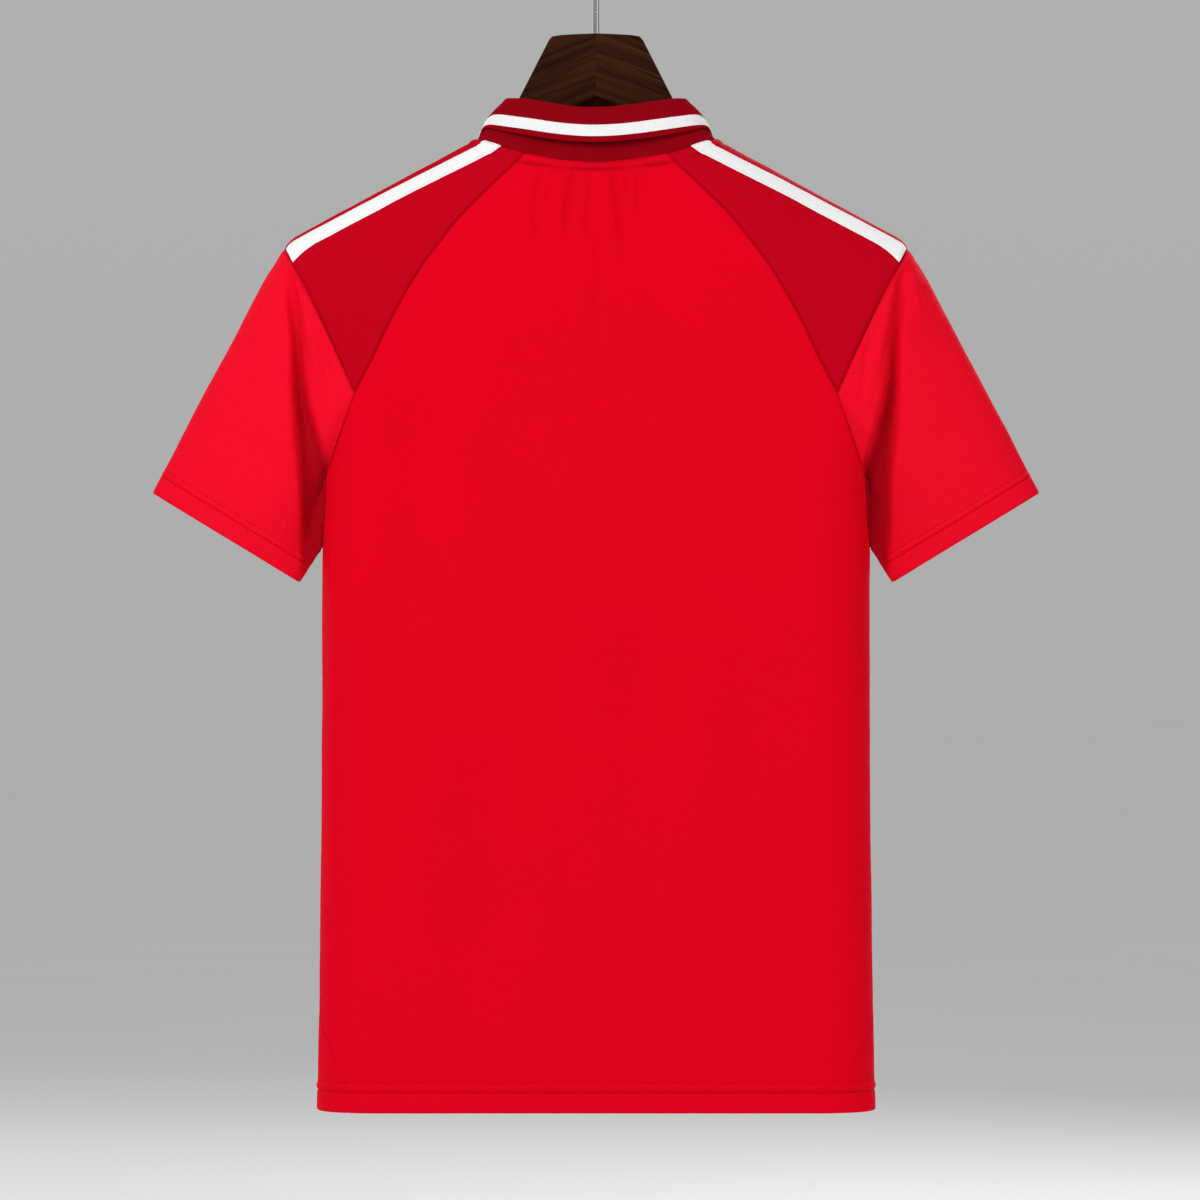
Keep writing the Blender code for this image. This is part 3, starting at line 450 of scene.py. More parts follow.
def hem_relief(height, along, lines, seed):
    """Height over a twin-needle hem, by the distance up from its folded edge."""
    low, high = lines
    between = np.clip((height - low) / (high - low), 0.0, 1.0)
    roping = np.sin((along + 0.35 * height) / ROPING_PITCH * FULL_TURN
                    + 2.0 * np.sin(along / 0.043 + seed))
    band = smooth_step(low - height, -0.0002, FOLDED_EDGE)
    edge = smooth_step(FOLDED_EDGE - height, 0.0, FOLDED_EDGE)
    roll = np.sin(math.pi * between ** 0.85) ** 2 * (1.0 + 0.12 * roping)
    return (FOLD_HEIGHT * band * (1.0 - 0.8 * edge) + ROLL_HEIGHT * roll
            + bump_at(height, low, 0.0007, -0.00055) + bump_at(height, high, 0.0006, -0.00012)
            + bump_at(height, high, ROPING_REACH, ROPING_HEIGHT) * roping)


print("needle lines at the hem", HEM_LINES, "and at the cuffs", CUFF_LINES)

# %% [markdown]
# ## Knitted polyester
#
# Training jersey is knitted from shiny polyester in a small staggered mesh, about two
# millimetres from one eyelet to the next. The product of two sines on the UV map gives
# exactly that chessboard of raised loops and eyelets, and a fine noise breaks it into yarn.
# The pattern drives a bump and a small change of colour, which paints shade in the eyelets. A
# broad noise in object space adds the faint unevenness of dyed cloth, and sheen the soft bloom
# that fabric shows where it turns away from the eye.

# %% Cloth materials
MESH_PITCH = 0.0022


def new_material(name, **inputs):
    material = bpy.data.materials.new(name)
    material.use_nodes = True
    shader = material.node_tree.nodes["Principled BSDF"]
    for key, value in inputs.items():
        shader.inputs[key.replace("_", " ")].default_value = value
    return material, material.node_tree, shader


def maths(tree, operation, *values):
    """A Math node on sockets or plain numbers."""
    return add_node(tree, "ShaderNodeMath", enumerate(values), operation=operation).outputs["Value"]


def waves(tree, length, pitch, operation="SINE"):
    return maths(tree, operation, maths(tree, "MULTIPLY", length, FULL_TURN / pitch))


def weighted(tree, total, *terms):
    """A total with each socket added in its weight."""
    for socket, weight in terms:
        total = maths(tree, "MULTIPLY_ADD", socket, weight, total)
    return total


def object_place(tree):
    return add_node(tree, "ShaderNodeTexCoord").outputs["Object"]


def cloth_place(tree):
    return add_node(tree, "ShaderNodeUVMap", uv_map="cloth").outputs["UV"]


def mark_value(tree, name):
    return add_node(tree, "ShaderNodeAttribute", attribute_name=name).outputs["Fac"]


def noise_value(tree, vector, scale, detail=2.0, stretch=None):
    """A noise texture on a vector, stretched by a Mapping node where asked."""
    if stretch is not None:
        vector = add_node(tree, "ShaderNodeMapping",
                          {"Scale": stretch, "Vector": vector}).outputs["Vector"]
    return add_node(tree, "ShaderNodeTexNoise",
                    {"Scale": scale, "Detail": detail, "Vector": vector}).outputs["Fac"]


def shades(colour, *levels):
    return [[channel * level for channel in colour] for level in levels]


def paint(tree, shader, tone, colours, height=None, distance=0.0):
    """Colour a shader between two colours by a tone, and raise it by a height."""
    ramp = add_node(tree, "ShaderNodeValToRGB", {"Fac": tone})
    for stop, colour in zip(ramp.color_ramp.elements, colours):
        stop.color = (*colour, 1.0)
    tree.links.new(ramp.outputs["Color"], shader.inputs["Base Color"])
    if height is not None:
        bump = add_node(tree, "ShaderNodeBump", {"Distance": distance, "Height": height})
        tree.links.new(bump.outputs["Normal"], shader.inputs["Normal"])


def jersey(name, colour, contrast=0.16):
    """Mesh-knit polyester in one colour."""
    material, tree, shader = new_material(
        name, Roughness=0.60, Specular_IOR_Level=0.012, Sheen_Weight=0.08, Sheen_Roughness=0.35,
        Sheen_Tint=(1.0, 0.03, 0.09, 1.0))
    lengths = cloth_place(tree)
    wale, course, _ = split(tree, lengths)
    loops = maths(tree, "MULTIPLY", waves(tree, wale, MESH_PITCH), waves(tree, course, MESH_PITCH))
    yarn = noise_value(tree, lengths, 1.0 / 0.0007, stretch=(1.0, 0.45, 1.0))
    broad = noise_value(tree, object_place(tree), 9.0, 3.0)
    # Painted shade: the tone drops in the eyelets, along the seam mark (seams, needle lines, under
    # the collar) and along the fold mark (folds and gathers). Where the seam mark is below zero it
    # is a painted highlight.
    tone = weighted(tree, 0.73, (loops, contrast * 0.35), (yarn, contrast * 0.40),
                    (broad, contrast * 0.50), (mark_value(tree, "seam"), -0.35),
                    (mark_value(tree, "painted_fold_shade"), -0.50))
    paint(tree, shader, tone, shades(colour, 0.30, 1.16), weighted(tree, loops, (yarn, 0.8)),
          0.00012)
    return material


RED_JERSEY = jersey("red_jersey", (0.780, 0.0007, 0.0128))
# The sleeves wear the same red jersey, painted lighter and pinker: painted light and sheen for the
# light the sleeves catch. Its mesh shows more.
SLEEVE_JERSEY_PAINTED_LIGHT = jersey("sleeve_jersey_painted_light", (0.880, 0.0040, 0.0210), contrast=0.24)
DARK_JERSEY = jersey("dark_jersey", (0.540, 0.0007, 0.0110))
print("materials:", RED_JERSEY.name, SLEEVE_JERSEY_PAINTED_LIGHT.name, "and", DARK_JERSEY.name)

# %% [markdown]
# ## The back and front panels
#
# A body panel is a grid whose rows climb from the hem to the neck. Below the arms a row ends
# at the side seam, which low down runs from the side on to the back. Higher up it ends at the
# armhole and then at the slanting seam of the shoulder panel, and the top rows bend until the
# last one lies on the neckline. The rows stand close together at the hem, where the stitched
# fold has details of under a millimetre, and further apart in the plain middle.

# %% Where the seams run
SEAM_SWEEP_TOP, SEAM_SWEEP_LOW, SEAM_SWEEP = -0.8020, -0.8537, 0.0245
LOW_ARMHOLE_TURN = math.radians(70.4)
ARMHOLE_BOW = 0.0025
RAGLAN_HALF = {+1: 0.0520, -1: 0.0640}    # where the seam leaves the back and front neckline
# The shoulder panel's seam: share of its drop, share of its width.
RAGLAN = ((0.000, 0.000), (0.031, 0.036), (0.122, 0.172), (0.162, 0.231), (0.270, 0.382),
          (0.354, 0.477), (0.478, 0.607), (0.602, 0.713), (0.727, 0.807), (0.851, 0.889),
          (1.000, 1.000))


def neckline(out, face):
    share = np.minimum(np.abs(out) / NECK_HALF, 1.0)
    if face > 0:
        return NECK_LEVEL - BACK_NECK_DROP * (1.0 - share ** 1.8)
    return NECK_LEVEL - FRONT_NECK_DROP * np.sqrt(1.0 - share * share)


def raglan_point(share, face):
    """Distance out and height on the seam between a shoulder panel and the body."""
    return (mix(RAGLAN_HALF[face], TIP_HALF, read_table(RAGLAN, share, 1)),
            mix(neckline(RAGLAN_HALF[face], face), TIP_LEVEL, share))


def upper_armhole(share):
    """Distance out and height from the ridge (0) to the shoulder panel's tip (1)."""
    out = mix(SHOULDER_HALF, TIP_HALF, share) - ARMHOLE_BOW * np.sin(math.pi * share)
    return out, mix(ridge_level(SHOULDER_HALF), TIP_LEVEL, share)


def flat_half(z):
    return read_table(TORSO, z, 1) - SIDE_REACH


def bend(z):
    """Mean radius of the torso's side."""
    return (SIDE_REACH + read_table(TORSO, z, 2)) / 2.0


def run_to(out, z):
    """Walk from the panel's middle to a distance out."""
    turn = np.arcsin(np.clip((out - flat_half(z)) / SIDE_REACH, 0.0, 1.0))
    return np.where(out <= flat_half(z), out, flat_half(z) + bend(z) * turn)


def place_on_walk(run, z):
    """Distance out, and +1 on the near face or -1 past the side, at the end of a walk."""
    turn = np.maximum(np.abs(run) - flat_half(z), 0.0) / bend(z)
    out = np.where(turn > 0.0, flat_half(z) + SIDE_REACH * np.sin(turn), np.abs(run))
    return np.copysign(out, run), np.where(turn <= QUARTER_TURN, 1.0, -1.0)


def lower_armhole(steps):
    """Turn round the side, and height, from the shoulder panel's tip to the underarm."""
    share = np.linspace(0.0, 1.0, steps, endpoint=False)[1:]
    tip_turn = math.asin((TIP_HALF - flat_half(TIP_LEVEL)) / SIDE_REACH)
    straight = np.arcsin(mix(math.sin(tip_turn), math.sin(LOW_ARMHOLE_TURN), share))
    angle = np.linspace(0.0, QUARTER_TURN, steps)
    turned = QUARTER_TURN - (QUARTER_TURN - LOW_ARMHOLE_TURN) * np.cos(angle)
    return (np.concatenate([straight, turned]),
            np.concatenate([mix(TIP_LEVEL, LOW_ARMHOLE_LEVEL, share),
                            mix(LOW_ARMHOLE_LEVEL, UNDERARM_LEVEL, np.sin(angle))]))


print("back neckline at", round(float(neckline(0.0, 1)), 4), "m")

# %% The two body panels
HEM_ROW_STEP, HEM_ZONE, PLAIN_ROW_STEP = 0.00075, 0.0255, 0.0046
ARMHOLE_STEPS, RAGLAN_STEPS, PANEL_COLUMNS = 12, 56, 75
ROW_CROWDING, COLUMN_CROWDING = 0.75, 1.2   # the grid is finer at the seams
HEM_PAINTED_HIGHLIGHT = 0.05             # painted highlight: the hem band below the needle lines is painted a little lighter
GATHER_SHADE = 95.0               # painted shade in the gathers, for each metre of their depth
HEM_TURN_UP = 0.0225              # height of the cloth folded up inside the hem
PLACKET_LOW, SLIT_HALF = -0.3750, 0.0010
NECK_STRIP = 0.0082               # collar seam to the needle line below it
STRIP_RISE, STRIP_DIPS = (0.0, 0.016, -0.0013), (0.030, 0.010, 0.0003)
STRIP_SWELL, STRIP_HEIGHT = 0.0034, 0.00045   # the swelling fades above the needle line
GATHERS_START = (0.0086, 0.0112)  # distance from the neck over which the gathers begin
# Painted shadows: under the collar, and in the hem's lower needle line.
COLLAR_SHADOW = (0.0021, 0.0007, 0.8)
HEM_SHADOW = (HEM_LINES[0], 0.0008, 0.35)
LOW_SEAM = 0.30                   # how strong the side seam is below, where it lies flat
PANEL_UNEVEN = (0.00030, 0.00012, (21.0, 70.0))


def neck_strip(run):
    """Distance of the needle line below the collar seam: it runs flatter than the seam."""
    return NECK_STRIP + bump_at(run, *STRIP_RISE) + bump_at(np.abs(run), *STRIP_DIPS)


def strip_relief(neck_distance, needle, groove):
    """Height below the collar seam: swollen, and sunken at the needle line."""
    swollen = smooth_step(neck_distance, 0.0005, 0.0020)
    swollen = swollen * (1.0 - smooth_step(needle, -STRIP_SWELL, 0.0))
    return STRIP_HEIGHT * swollen + bump_at(needle, 0.0, 0.0009, -groove)


def panel_grid(face):
    """Points of a body panel, and for each the walk from the middle, its height and face."""
    hem = HEM_LEVEL + np.arange(0.0, HEM_ZONE, HEM_ROW_STEP)
    plain = np.linspace(hem[-1], UNDERARM_LEVEL, round((UNDERARM_LEVEL - hem[-1]) / PLAIN_ROW_STEP))
    below = np.concatenate([hem, plain[1:-1]])
    sweep = np.clip((SEAM_SWEEP_TOP - below) / (SEAM_SWEEP_TOP - SEAM_SWEEP_LOW), 0.0, 1.0)
    side_run = run_to(read_table(TORSO, below, 1) - SEAM_SWEEP * sweep, below)
    if face < 0:
        side_run = 2.0 * flat_half(below) + math.pi * bend(below) - side_run
    turn, level = (values[::-1] for values in lower_armhole(ARMHOLE_STEPS))
    share = 1.0 - np.linspace(0.0, 1.0, RAGLAN_STEPS) ** ROW_CROWDING
    out, high = raglan_point(share, face)
    heights, runs, bends = (np.concatenate(parts)[:, None] for parts in (
        (below, level, high),
        (side_run, flat_half(level) + bend(level) * turn, run_to(out, high)),
        (0.0 * below, 0.0 * level, (1.0 - share) ** 2)))
    runs = runs + SEAM_OVERLAP
    half = 1.0 - (1.0 - np.linspace(0.0, 1.0, PANEL_COLUMNS + 1)) ** COLUMN_CROWDING
    run = runs * np.concatenate([-half[:0:-1], half])
    if face < 0:                  # two middle columns stand on the slit's edges
        run = np.insert(run, PANEL_COLUMNS, -SLIT_HALF, axis=1)
        run[:, PANEL_COLUMNS + 1] = SLIT_HALF
    z = np.broadcast_to(heights, run.shape)
    out, near = place_on_walk(run, z)
    at_neck = neckline(RAGLAN_HALF[face] * np.abs(run) / runs, face)
    z = z + (at_neck - neckline(RAGLAN_HALF[face], face)) * bends
    return torso_point(out, z, face * near), run, z, face * near


def body_panel(name, face, seed):
    base, run, z, side = panel_grid(face)
    height = z - HEM_LEVEL
    distance, along = nearest_on(np.concatenate([base[:, 0], base[-1], base[::-1, -1]]), base)
    neck_distance, _ = nearest_on(base[-1], base)
    needle = neck_distance - neck_strip(run)
    gathers = crease_depth(GATHERS, run, z, side) * smooth_step(neck_distance, *GATHERS_START)
    plain_seam = (mix(LOW_SEAM, 1.0, smooth_step(z, -0.80, -0.76))
                  * smooth_step(height, 0.012, 0.020))
    relief = (hem_relief(height, run, HEM_LINES, seed) - gathers
              + strip_relief(neck_distance, needle, 0.00075)
              + seam_relief(distance, along, seed) * plain_seam
              + unevenness(base, *PANEL_UNEVEN, seed))
    outer = base + grid_normals(base) * face * relief[..., None]
    normals = grid_normals(outer) * face
    folded = 1.0 - smooth_step(height, HEM_TURN_UP, HEM_TURN_UP + 0.001)
    inner = outer - normals * (CLOTH * (1.0 + folded))[..., None]
    keep = np.ones((base.shape[0] - 1, base.shape[1] - 1), bool)
    if face < 0:
        keep[z[:-1, PANEL_COLUMNS] > PLACKET_LOW, PANEL_COLUMNS] = False
    # Painted shade in the seam's groove, along the needle line, under the collar and in the hem's
    # lower needle line, and a painted highlight on the hem band below it.
    dark = (bump_at(distance, *SEAM_PAINTED_SHADE) * plain_seam + 1.4 * bump_at(needle, *NEEDLE_PAINTED_SHADE)
            + bump_at(neck_distance, *COLLAR_SHADOW) + bump_at(height, *HEM_SHADOW)
            - HEM_PAINTED_HIGHLIGHT * (height < HEM_LINES[0]))
    # The gathers get painted shade by their depth.
    piece = cloth_wall(name, outer, inner, np.stack([run, z], axis=-1), RED_JERSEY, keep=keep,
                       marks={"seam": dark, "painted_fold_shade": GATHER_SHADE * gathers})
    return piece, outer, normals, neck_distance


back, back_grid, back_normals, back_neck = body_panel("back", +1, 3.1)
front, front_grid, front_normals, _ = body_panel("front", -1, 7.7)

# %% [markdown]
# ## The shoulder panels
#
# A darker panel wraps over each shoulder, from the slanting seam on the back to the same seam
# on the front. It is a patch between four known lines: the ridge, the armhole, the slanting
# seam and the neckline. Mixing the opposite lines and taking away the mixed corners fills
# such a patch smoothly, which is known as a Coons patch. The rows stand closer together
# towards the ridge, where the cloth turns over the hanger.

# %% The shoulder panels
ALONG_SHOULDER, DOWN_SHOULDER = 64, 52
SHOULDER_CREASES = ((+1, 213, -236, 203, -272, 190, -310, 6, -0.8),
                    (+1, 220, -242, 209, -278, 196, -313, 4.5, 0.6),
                    (+1, 156, -200, 162, -240, 168, -290, 14, 0.7),
                    (-1, 208, -236, 198, -270, 188, -310, 6, -0.7),
                    (-1, 130, -185, 140, -230, 154, -280, 14, 0.8))


def shoulder_patch(along, down, face):
    """Distance out and height in the patch between ridge, armhole, raglan and neckline."""
    start_out, ridge_out = RAGLAN_HALF[face], mix(NECK_HALF, SHOULDER_HALF, along)
    neck_out = mix(NECK_HALF, start_out, down)
    neck = neck_out, neckline(neck_out, face)
    ridge = ridge_out, ridge_level(ridge_out)
    corners = (((NECK_HALF, SHOULDER_HALF), (start_out, TIP_HALF)),
               ((NECK_LEVEL, ridge_level(SHOULDER_HALF)), (neckline(start_out, face), TIP_LEVEL)))
    return [mix(top, low, down) + mix(inside, outside, along)
            - mix(mix(high[0], deep[0], down), mix(high[1], deep[1], down), along)
            for top, low, inside, outside, (high, deep) in zip(
                ridge, raglan_point(along, face), neck, upper_armhole(down), corners)]


def shoulder_panel(name, hand, seed):
    down = 1.0 - np.cos(QUARTER_TURN * np.linspace(0.0, 1.0, DOWN_SHOULDER + 1))
    along = np.linspace(0.0, 1.0, ALONG_SHOULDER + 1)[:, None]
    out, z = (np.hstack(halves) for halves in zip(shoulder_patch(along, down[::-1], +1),
                                                  shoulder_patch(along, down[1:], -1)))
    face = np.where(np.arange(out.shape[1]) <= DOWN_SHOULDER, 1, -1) * np.ones_like(out)
    base = torso_point(hand * out, z, face)
    normals = grid_normals(base)
    normals *= np.sign((normals * torso_normal(hand * out, z, face)).sum(-1).mean())
    edge = np.concatenate([base[0], base[:, -1], base[-1, ::-1], base[::-1, 0]])
    distance, walked = nearest_on(edge, base)
    neck_distance, _ = nearest_on(base[0], base)
    needle = neck_distance - NECK_STRIP
    relief = (seam_relief(distance, walked, seed)
              + strip_relief(neck_distance, needle, 0.00060) * (face > 0)
              - crease_depth(SHOULDER_CREASES, out, z, face)
              + unevenness(base, 0.00025, 0.00010, (24.0, 75.0), seed))
    outer = base + normals * relief[..., None]
    lengths = np.stack([np.broadcast_to(out, face.shape), walk_across(base)], axis=-1)
    # Painted shade along the seams and along the needle line below the collar.
    dark = bump_at(distance, *SEAM_PAINTED_SHADE) + 0.9 * bump_at(needle, *NEEDLE_PAINTED_SHADE)
    return cloth_wall(name, outer, outer - normals * CLOTH, lengths, DARK_JERSEY,
                      marks={"seam": dark})


HANDS = {"left": +1, "right": -1}
shoulders = {side: shoulder_panel("shoulder_" + side, hand, seed)
             for (side, hand), seed in zip(HANDS.items(), (11.3, 15.9))}

# %% [markdown]
# ## White shoulder tapes
#
# A white tape a little over a centimetre wide is sewn on each shoulder panel, from the collar
# seam to the sleeve. Its own table gives the distance of both edges below the ridge. The
# points are then laid on the finished panel with a ray along the form's normal, so the tape
# follows the puckers and the sunken needle line beneath it. The weave is a fine twill: one
# sine across the sum of the two cloth lengths.

# %% The shoulder tapes
TAPE_THICKNESS, TAPE_EDGE = 0.0009, (0.10, 0.00025)   # how far in its edges are sunk, how deep
TAPE_UNDERSIDE = -0.0001
TAPE_CREASE = (0.045, 0.0045, 0.0005)   # where the collar's needle line crosses
TAPE_COLUMNS, TAPE_FINE_SHARE, TAPE_FINE_ROWS, TAPE_PLAIN_ROWS = 13, 0.09, 40, 87
RAY_START = 0.01                  # rays start this far outside the form
# Share of the tape's length, distance out of its upper and its lower edge, and how far below
# the ridge each of them lies. The tape turns at the needle line below the collar seam.
TAPE_ROWS = ((0.000, 0.0826, 0.0700, 0.0052, 0.0165), (0.045, 0.0858, 0.0744, 0.0068, 0.0177),
             (0.160, 0.1049, 0.0940, 0.0060, 0.0170), (0.500, 0.1590, 0.1475, 0.0044, 0.0150),
             (0.900, 0.2146, 0.2068, 0.0038, 0.0145), (0.930, 0.2188, 0.2113, 0.0038, 0.0148),
             (0.955, 0.2224, 0.2153, 0.0038, 0.0156), (0.978, 0.2262, 0.2196, 0.0038, 0.0171),
             (1.000, 0.2300, 0.2244, 0.0038, 0.0194))


def twill(name, colour, pitch):
    material, tree, shader = new_material(
        name, Roughness=0.58, Specular_IOR_Level=0.20, Sheen_Weight=0.06, Sheen_Roughness=0.4)
    lengths = cloth_place(tree)
    along, across, _ = split(tree, lengths)
    lines = waves(tree, maths(tree, "ADD", along, across), pitch)
    yarn = noise_value(tree, lengths, 1.0 / 0.0008)
    tone = weighted(tree, 0.45, (lines, 0.10), (yarn, 0.25),
                    (noise_value(tree, object_place(tree), 30.0), 0.25))
    paint(tree, shader, tone, shades(colour, 0.92, 1.04), maths(tree, "ADD", lines, yarn), 0.00006)
    return material


WHITE_TAPE = twill("white_tape", (0.955, 0.956, 0.960), 0.0013)


def laid_on(panel, points, normals, lift):
    """Move points along their normals on to a panel, and then out by lift."""
    tree = BVHTree.FromObject(panel, bpy.context.evaluated_depsgraph_get())
    laid = np.empty_like(points)
    for place in np.ndindex(points.shape[:-1]):
        point, normal = Vector(points[place]), Vector(normals[place])
        hit = tree.ray_cast(point + normal * RAY_START, -normal, 2.0 * RAY_START)[0]
        laid[place] = (point if hit is None else hit) + normal * lift
    return laid


def shoulder_tape(name, hand, panel):
    along = np.concatenate([np.linspace(0.0, TAPE_FINE_SHARE, TAPE_FINE_ROWS),
                            np.linspace(TAPE_FINE_SHARE, 1.0, TAPE_PLAIN_ROWS)[1:]])
    across = np.linspace(0.0, 1.0, TAPE_COLUMNS)
    rows = np.array(TAPE_ROWS).T
    upper_out, lower_out, upper_drop, lower_drop = (np.interp(along, rows[0], row)[:, None]
                                                    for row in rows[1:])
    out = mix(upper_out, lower_out, across)
    z = ridge_level(out) - mix(upper_drop, lower_drop, across)
    base, normals = torso_point(hand * out, z, +1), torso_normal(hand * out, z, 1.0)
    sunk = (bump_at(across, 0.0, *TAPE_EDGE) + bump_at(across, 1.0, *TAPE_EDGE)
            + bump_at(along, *TAPE_CREASE)[:, None])
    outer = laid_on(panel, base, normals, TAPE_THICKNESS) - normals * sunk[..., None]
    inner = laid_on(panel, base, normals, TAPE_UNDERSIDE)
    walked = np.broadcast_to(walk_along(base[:, TAPE_COLUMNS // 2])[:, None], out.shape)
    lengths = np.stack([walked, walk_across(base)], axis=-1)
    return cloth_wall(name, outer, inner, lengths, WHITE_TAPE), outer, normals


tapes = {side: shoulder_tape("tape_" + side, hand, shoulders[side])
         for side, hand in HANDS.items()}

# %% [markdown]
# ## The sleeves
#
# A sleeve is a loft: a ring of points round the armhole, a ring round the flattened cuff, and
# straight lines between them. Where the sleeve hangs down beside the body its cloth folds in
# on itself, and this deep valley is what makes it look worn and not stuffed. The valley is a
# table of places and depths. The loft's last rows are set by their real distance from the
# cuff, so that both needle lines run parallel to the edge all round.

# %% The sleeves
CUFF_OUTER, CUFF_INNER = np.array([0.3296, -0.4110]), np.array([0.2201, -0.4775])
CUFF_HALF_DEPTH, CUFF_ZONE, SLEEVE_ROWS = 0.0190, 0.0225, 84
RING_ABOVE, RING_BELOW = 90, 36            # points of half an armhole, over and under the tip
SLEEVE_ROW_CROWDING, TOP_BULGE_REACH = 1.2, 0.16
SLEEVE_UNEVEN = (0.00028, 0.00010, (26.0, 80.0))
UNDERARM_SEAM = 0.4                        # how strong it is beside the armhole seam
# The fold beside the body: height, its outer edge, its inner edge and its depth.
SLEEVE_FOLD = ((-0.2450, 0.2312, 0.2300, 0.0000), (-0.2700, 0.2284, 0.2254, 0.0070),
               (-0.2978, 0.2254, 0.2220, 0.0150), (-0.3350, 0.2244, 0.2185, 0.0190),
               (-0.3700, 0.2222, 0.2100, 0.0210), (-0.4020, 0.2200, 0.1995, 0.0215),
               (-0.4300, 0.2196, 0.1900, 0.0225), (-0.4541, 0.2196, 0.1900, 0.0225),
               (-0.4650, 0.2196, 0.1900, 0.0170), (-0.4775, 0.2196, 0.1900, 0.0050))
FOLD_DROP, FOLD_RISE = 0.0036, 0.0060      # widths of its steep and of its gentle side
# the fold's depth that gives its painted shade full strength
FULL_DEPTH = 0.0200
FOLD_FLOOR = 0.0034                        # least half depth left inside the fold
FOLD_SOFTENING = 5                         # passes of neighbour averaging
KINK_SPREAD, KINK_FADE = 9, 0.030          # how the shoulder tip's corner softens outwards
TOP_BULGE = (0.0019, 0.0, 0.0011)          # the sleeve's upper line stands out a little
SEAM_TUCK, SEAM_TUCK_DEPTH = 0.0025, 0.0016

SLEEVE_CREASES = (
    (+1, 227.5, -244, 226.6, -262, 225.8, -286, 6, 1.8),
    (+1, 234.5, -238, 237.5, -264, 240.5, -302, 3.4, -0.8),
    (+1, 222, -244, 212.9, -290, 201, -348, 4.5, -2),
    (+1, 225, -250, 217, -290, 210, -325, 2.2, 1.2),
    (+1, 203, -296, 199, -320, 195.5, -350, 2.6, 1.3),
    (+1, 254, -280, 260, -340, 256, -420, 16, 0.7),
    (+1, 270, -310, 290, -360, 302, -415, 12, -0.6),
    (-1, 222, -244, 214, -290, 203, -348, 5, -1.2),
    (-1, 203, -296, 199.5, -320, 196, -350, 3, 0.8),
    (-1, 248, -270, 256, -340, 260, -420, 17, 0.9))


def armhole_ring():
    """Distance out, height, face and share of the walk, from the ridge round to the ridge."""
    out, z = upper_armhole(1.0 - np.cos(QUARTER_TURN * np.linspace(0.0, 1.0, RING_ABOVE)))
    turn, level = lower_armhole(RING_BELOW)
    out = np.concatenate([out, flat_half(level) + SIDE_REACH * np.sin(turn)])
    z = np.concatenate([z, level])
    walked = walk_along(torso_point(out, z, +1))
    order = np.concatenate([np.arange(len(out)), np.arange(len(out) - 2, 0, -1)])
    face = np.where(np.arange(len(order)) < len(out), 1.0, -1.0)
    return out[order], z[order], face, (walked / walked[-1])[order]


def cuff_points(share, face):
    """The cuff's flattened oval: 0 at the outer corner, 1 at the inner one."""
    x, z = mix(CUFF_OUTER[:, None], CUFF_INNER[:, None], (1.0 - np.cos(math.pi * share)) / 2.0)
    depth = CUFF_HALF_DEPTH * np.clip(np.sin(math.pi * share), 0.0, 1.0) ** 0.8
    return np.stack([x, face * depth, z], axis=-1)


def fold_depth(out, z):
    """A steep drop at the fold's outer edge, then a gentle rise towards the seam."""
    outer_edge, inner_edge, depth = read_table(SLEEVE_FOLD, z, 1, 2, 3)
    return (depth * (1.0 - smooth_step(out, outer_edge - FOLD_DROP, outer_edge))
            * smooth_step(out, inner_edge - FOLD_RISE, inner_edge))


def softened(values, passes, along_too=True):
    """Average each value with its neighbours round the ring, and along the sleeve."""
    for _ in range(passes):
        values = (np.roll(values, 1, axis=1) + 2.0 * values + np.roll(values, -1, axis=1)) / 4.0
        if along_too:
            inner = (values[:-2] + 2.0 * values[1:-1] + values[2:]) / 4.0
            values = np.vstack([values[:1], inner, values[-1:]])
    return values


def sleeve_form():
    """Points of a left sleeve, its seam line and its distances from the seam and the cuff."""
    out, z, face, walked = armhole_ring()
    start, end = torso_point(out, z, face), cuff_points(walked, face)
    softer = softened(start[None], KINK_SPREAD, along_too=False)[0]
    softer = mix(start, softer, smooth_step(np.abs(start[:, 1]), 0.004, 0.012)[:, None])
    softer = softer + np.outer(bump_at(walked, 0.0, TOP_BULGE_REACH), TOP_BULGE)
    length = np.linalg.norm(end - start, axis=-1)
    upper = np.linspace(0.0, 1.0, SLEEVE_ROWS, endpoint=False)[:, None] ** SLEEVE_ROW_CROWDING
    hem = np.arange(CUFF_ZONE, -1e-6, -HEM_ROW_STEP)[:, None]
    share = np.vstack([upper * (1.0 - CUFF_ZONE / length), 1.0 - hem / length])
    away = smooth_step(share * length, 0.0, KINK_FADE)[..., None]
    base = mix(mix(start, softer, away), end, share[..., None])
    under = torso_normal(out, z, face)
    back_in = np.cross(np.roll(start, -1, axis=0) - np.roll(start, 1, axis=0), under)
    back_in = unit(back_in * np.sign((back_in * (start - end)).sum()))
    tucked = start + back_in * SEAM_TUCK - under * SEAM_TUCK_DEPTH
    rows = [SLEEVE_ROWS + int(np.argmin(np.abs(hem[:, 0] - line))) for line in CUFF_LINES]
    return base, face, start, share * length, (1.0 - share) * length, tucked, under, rows


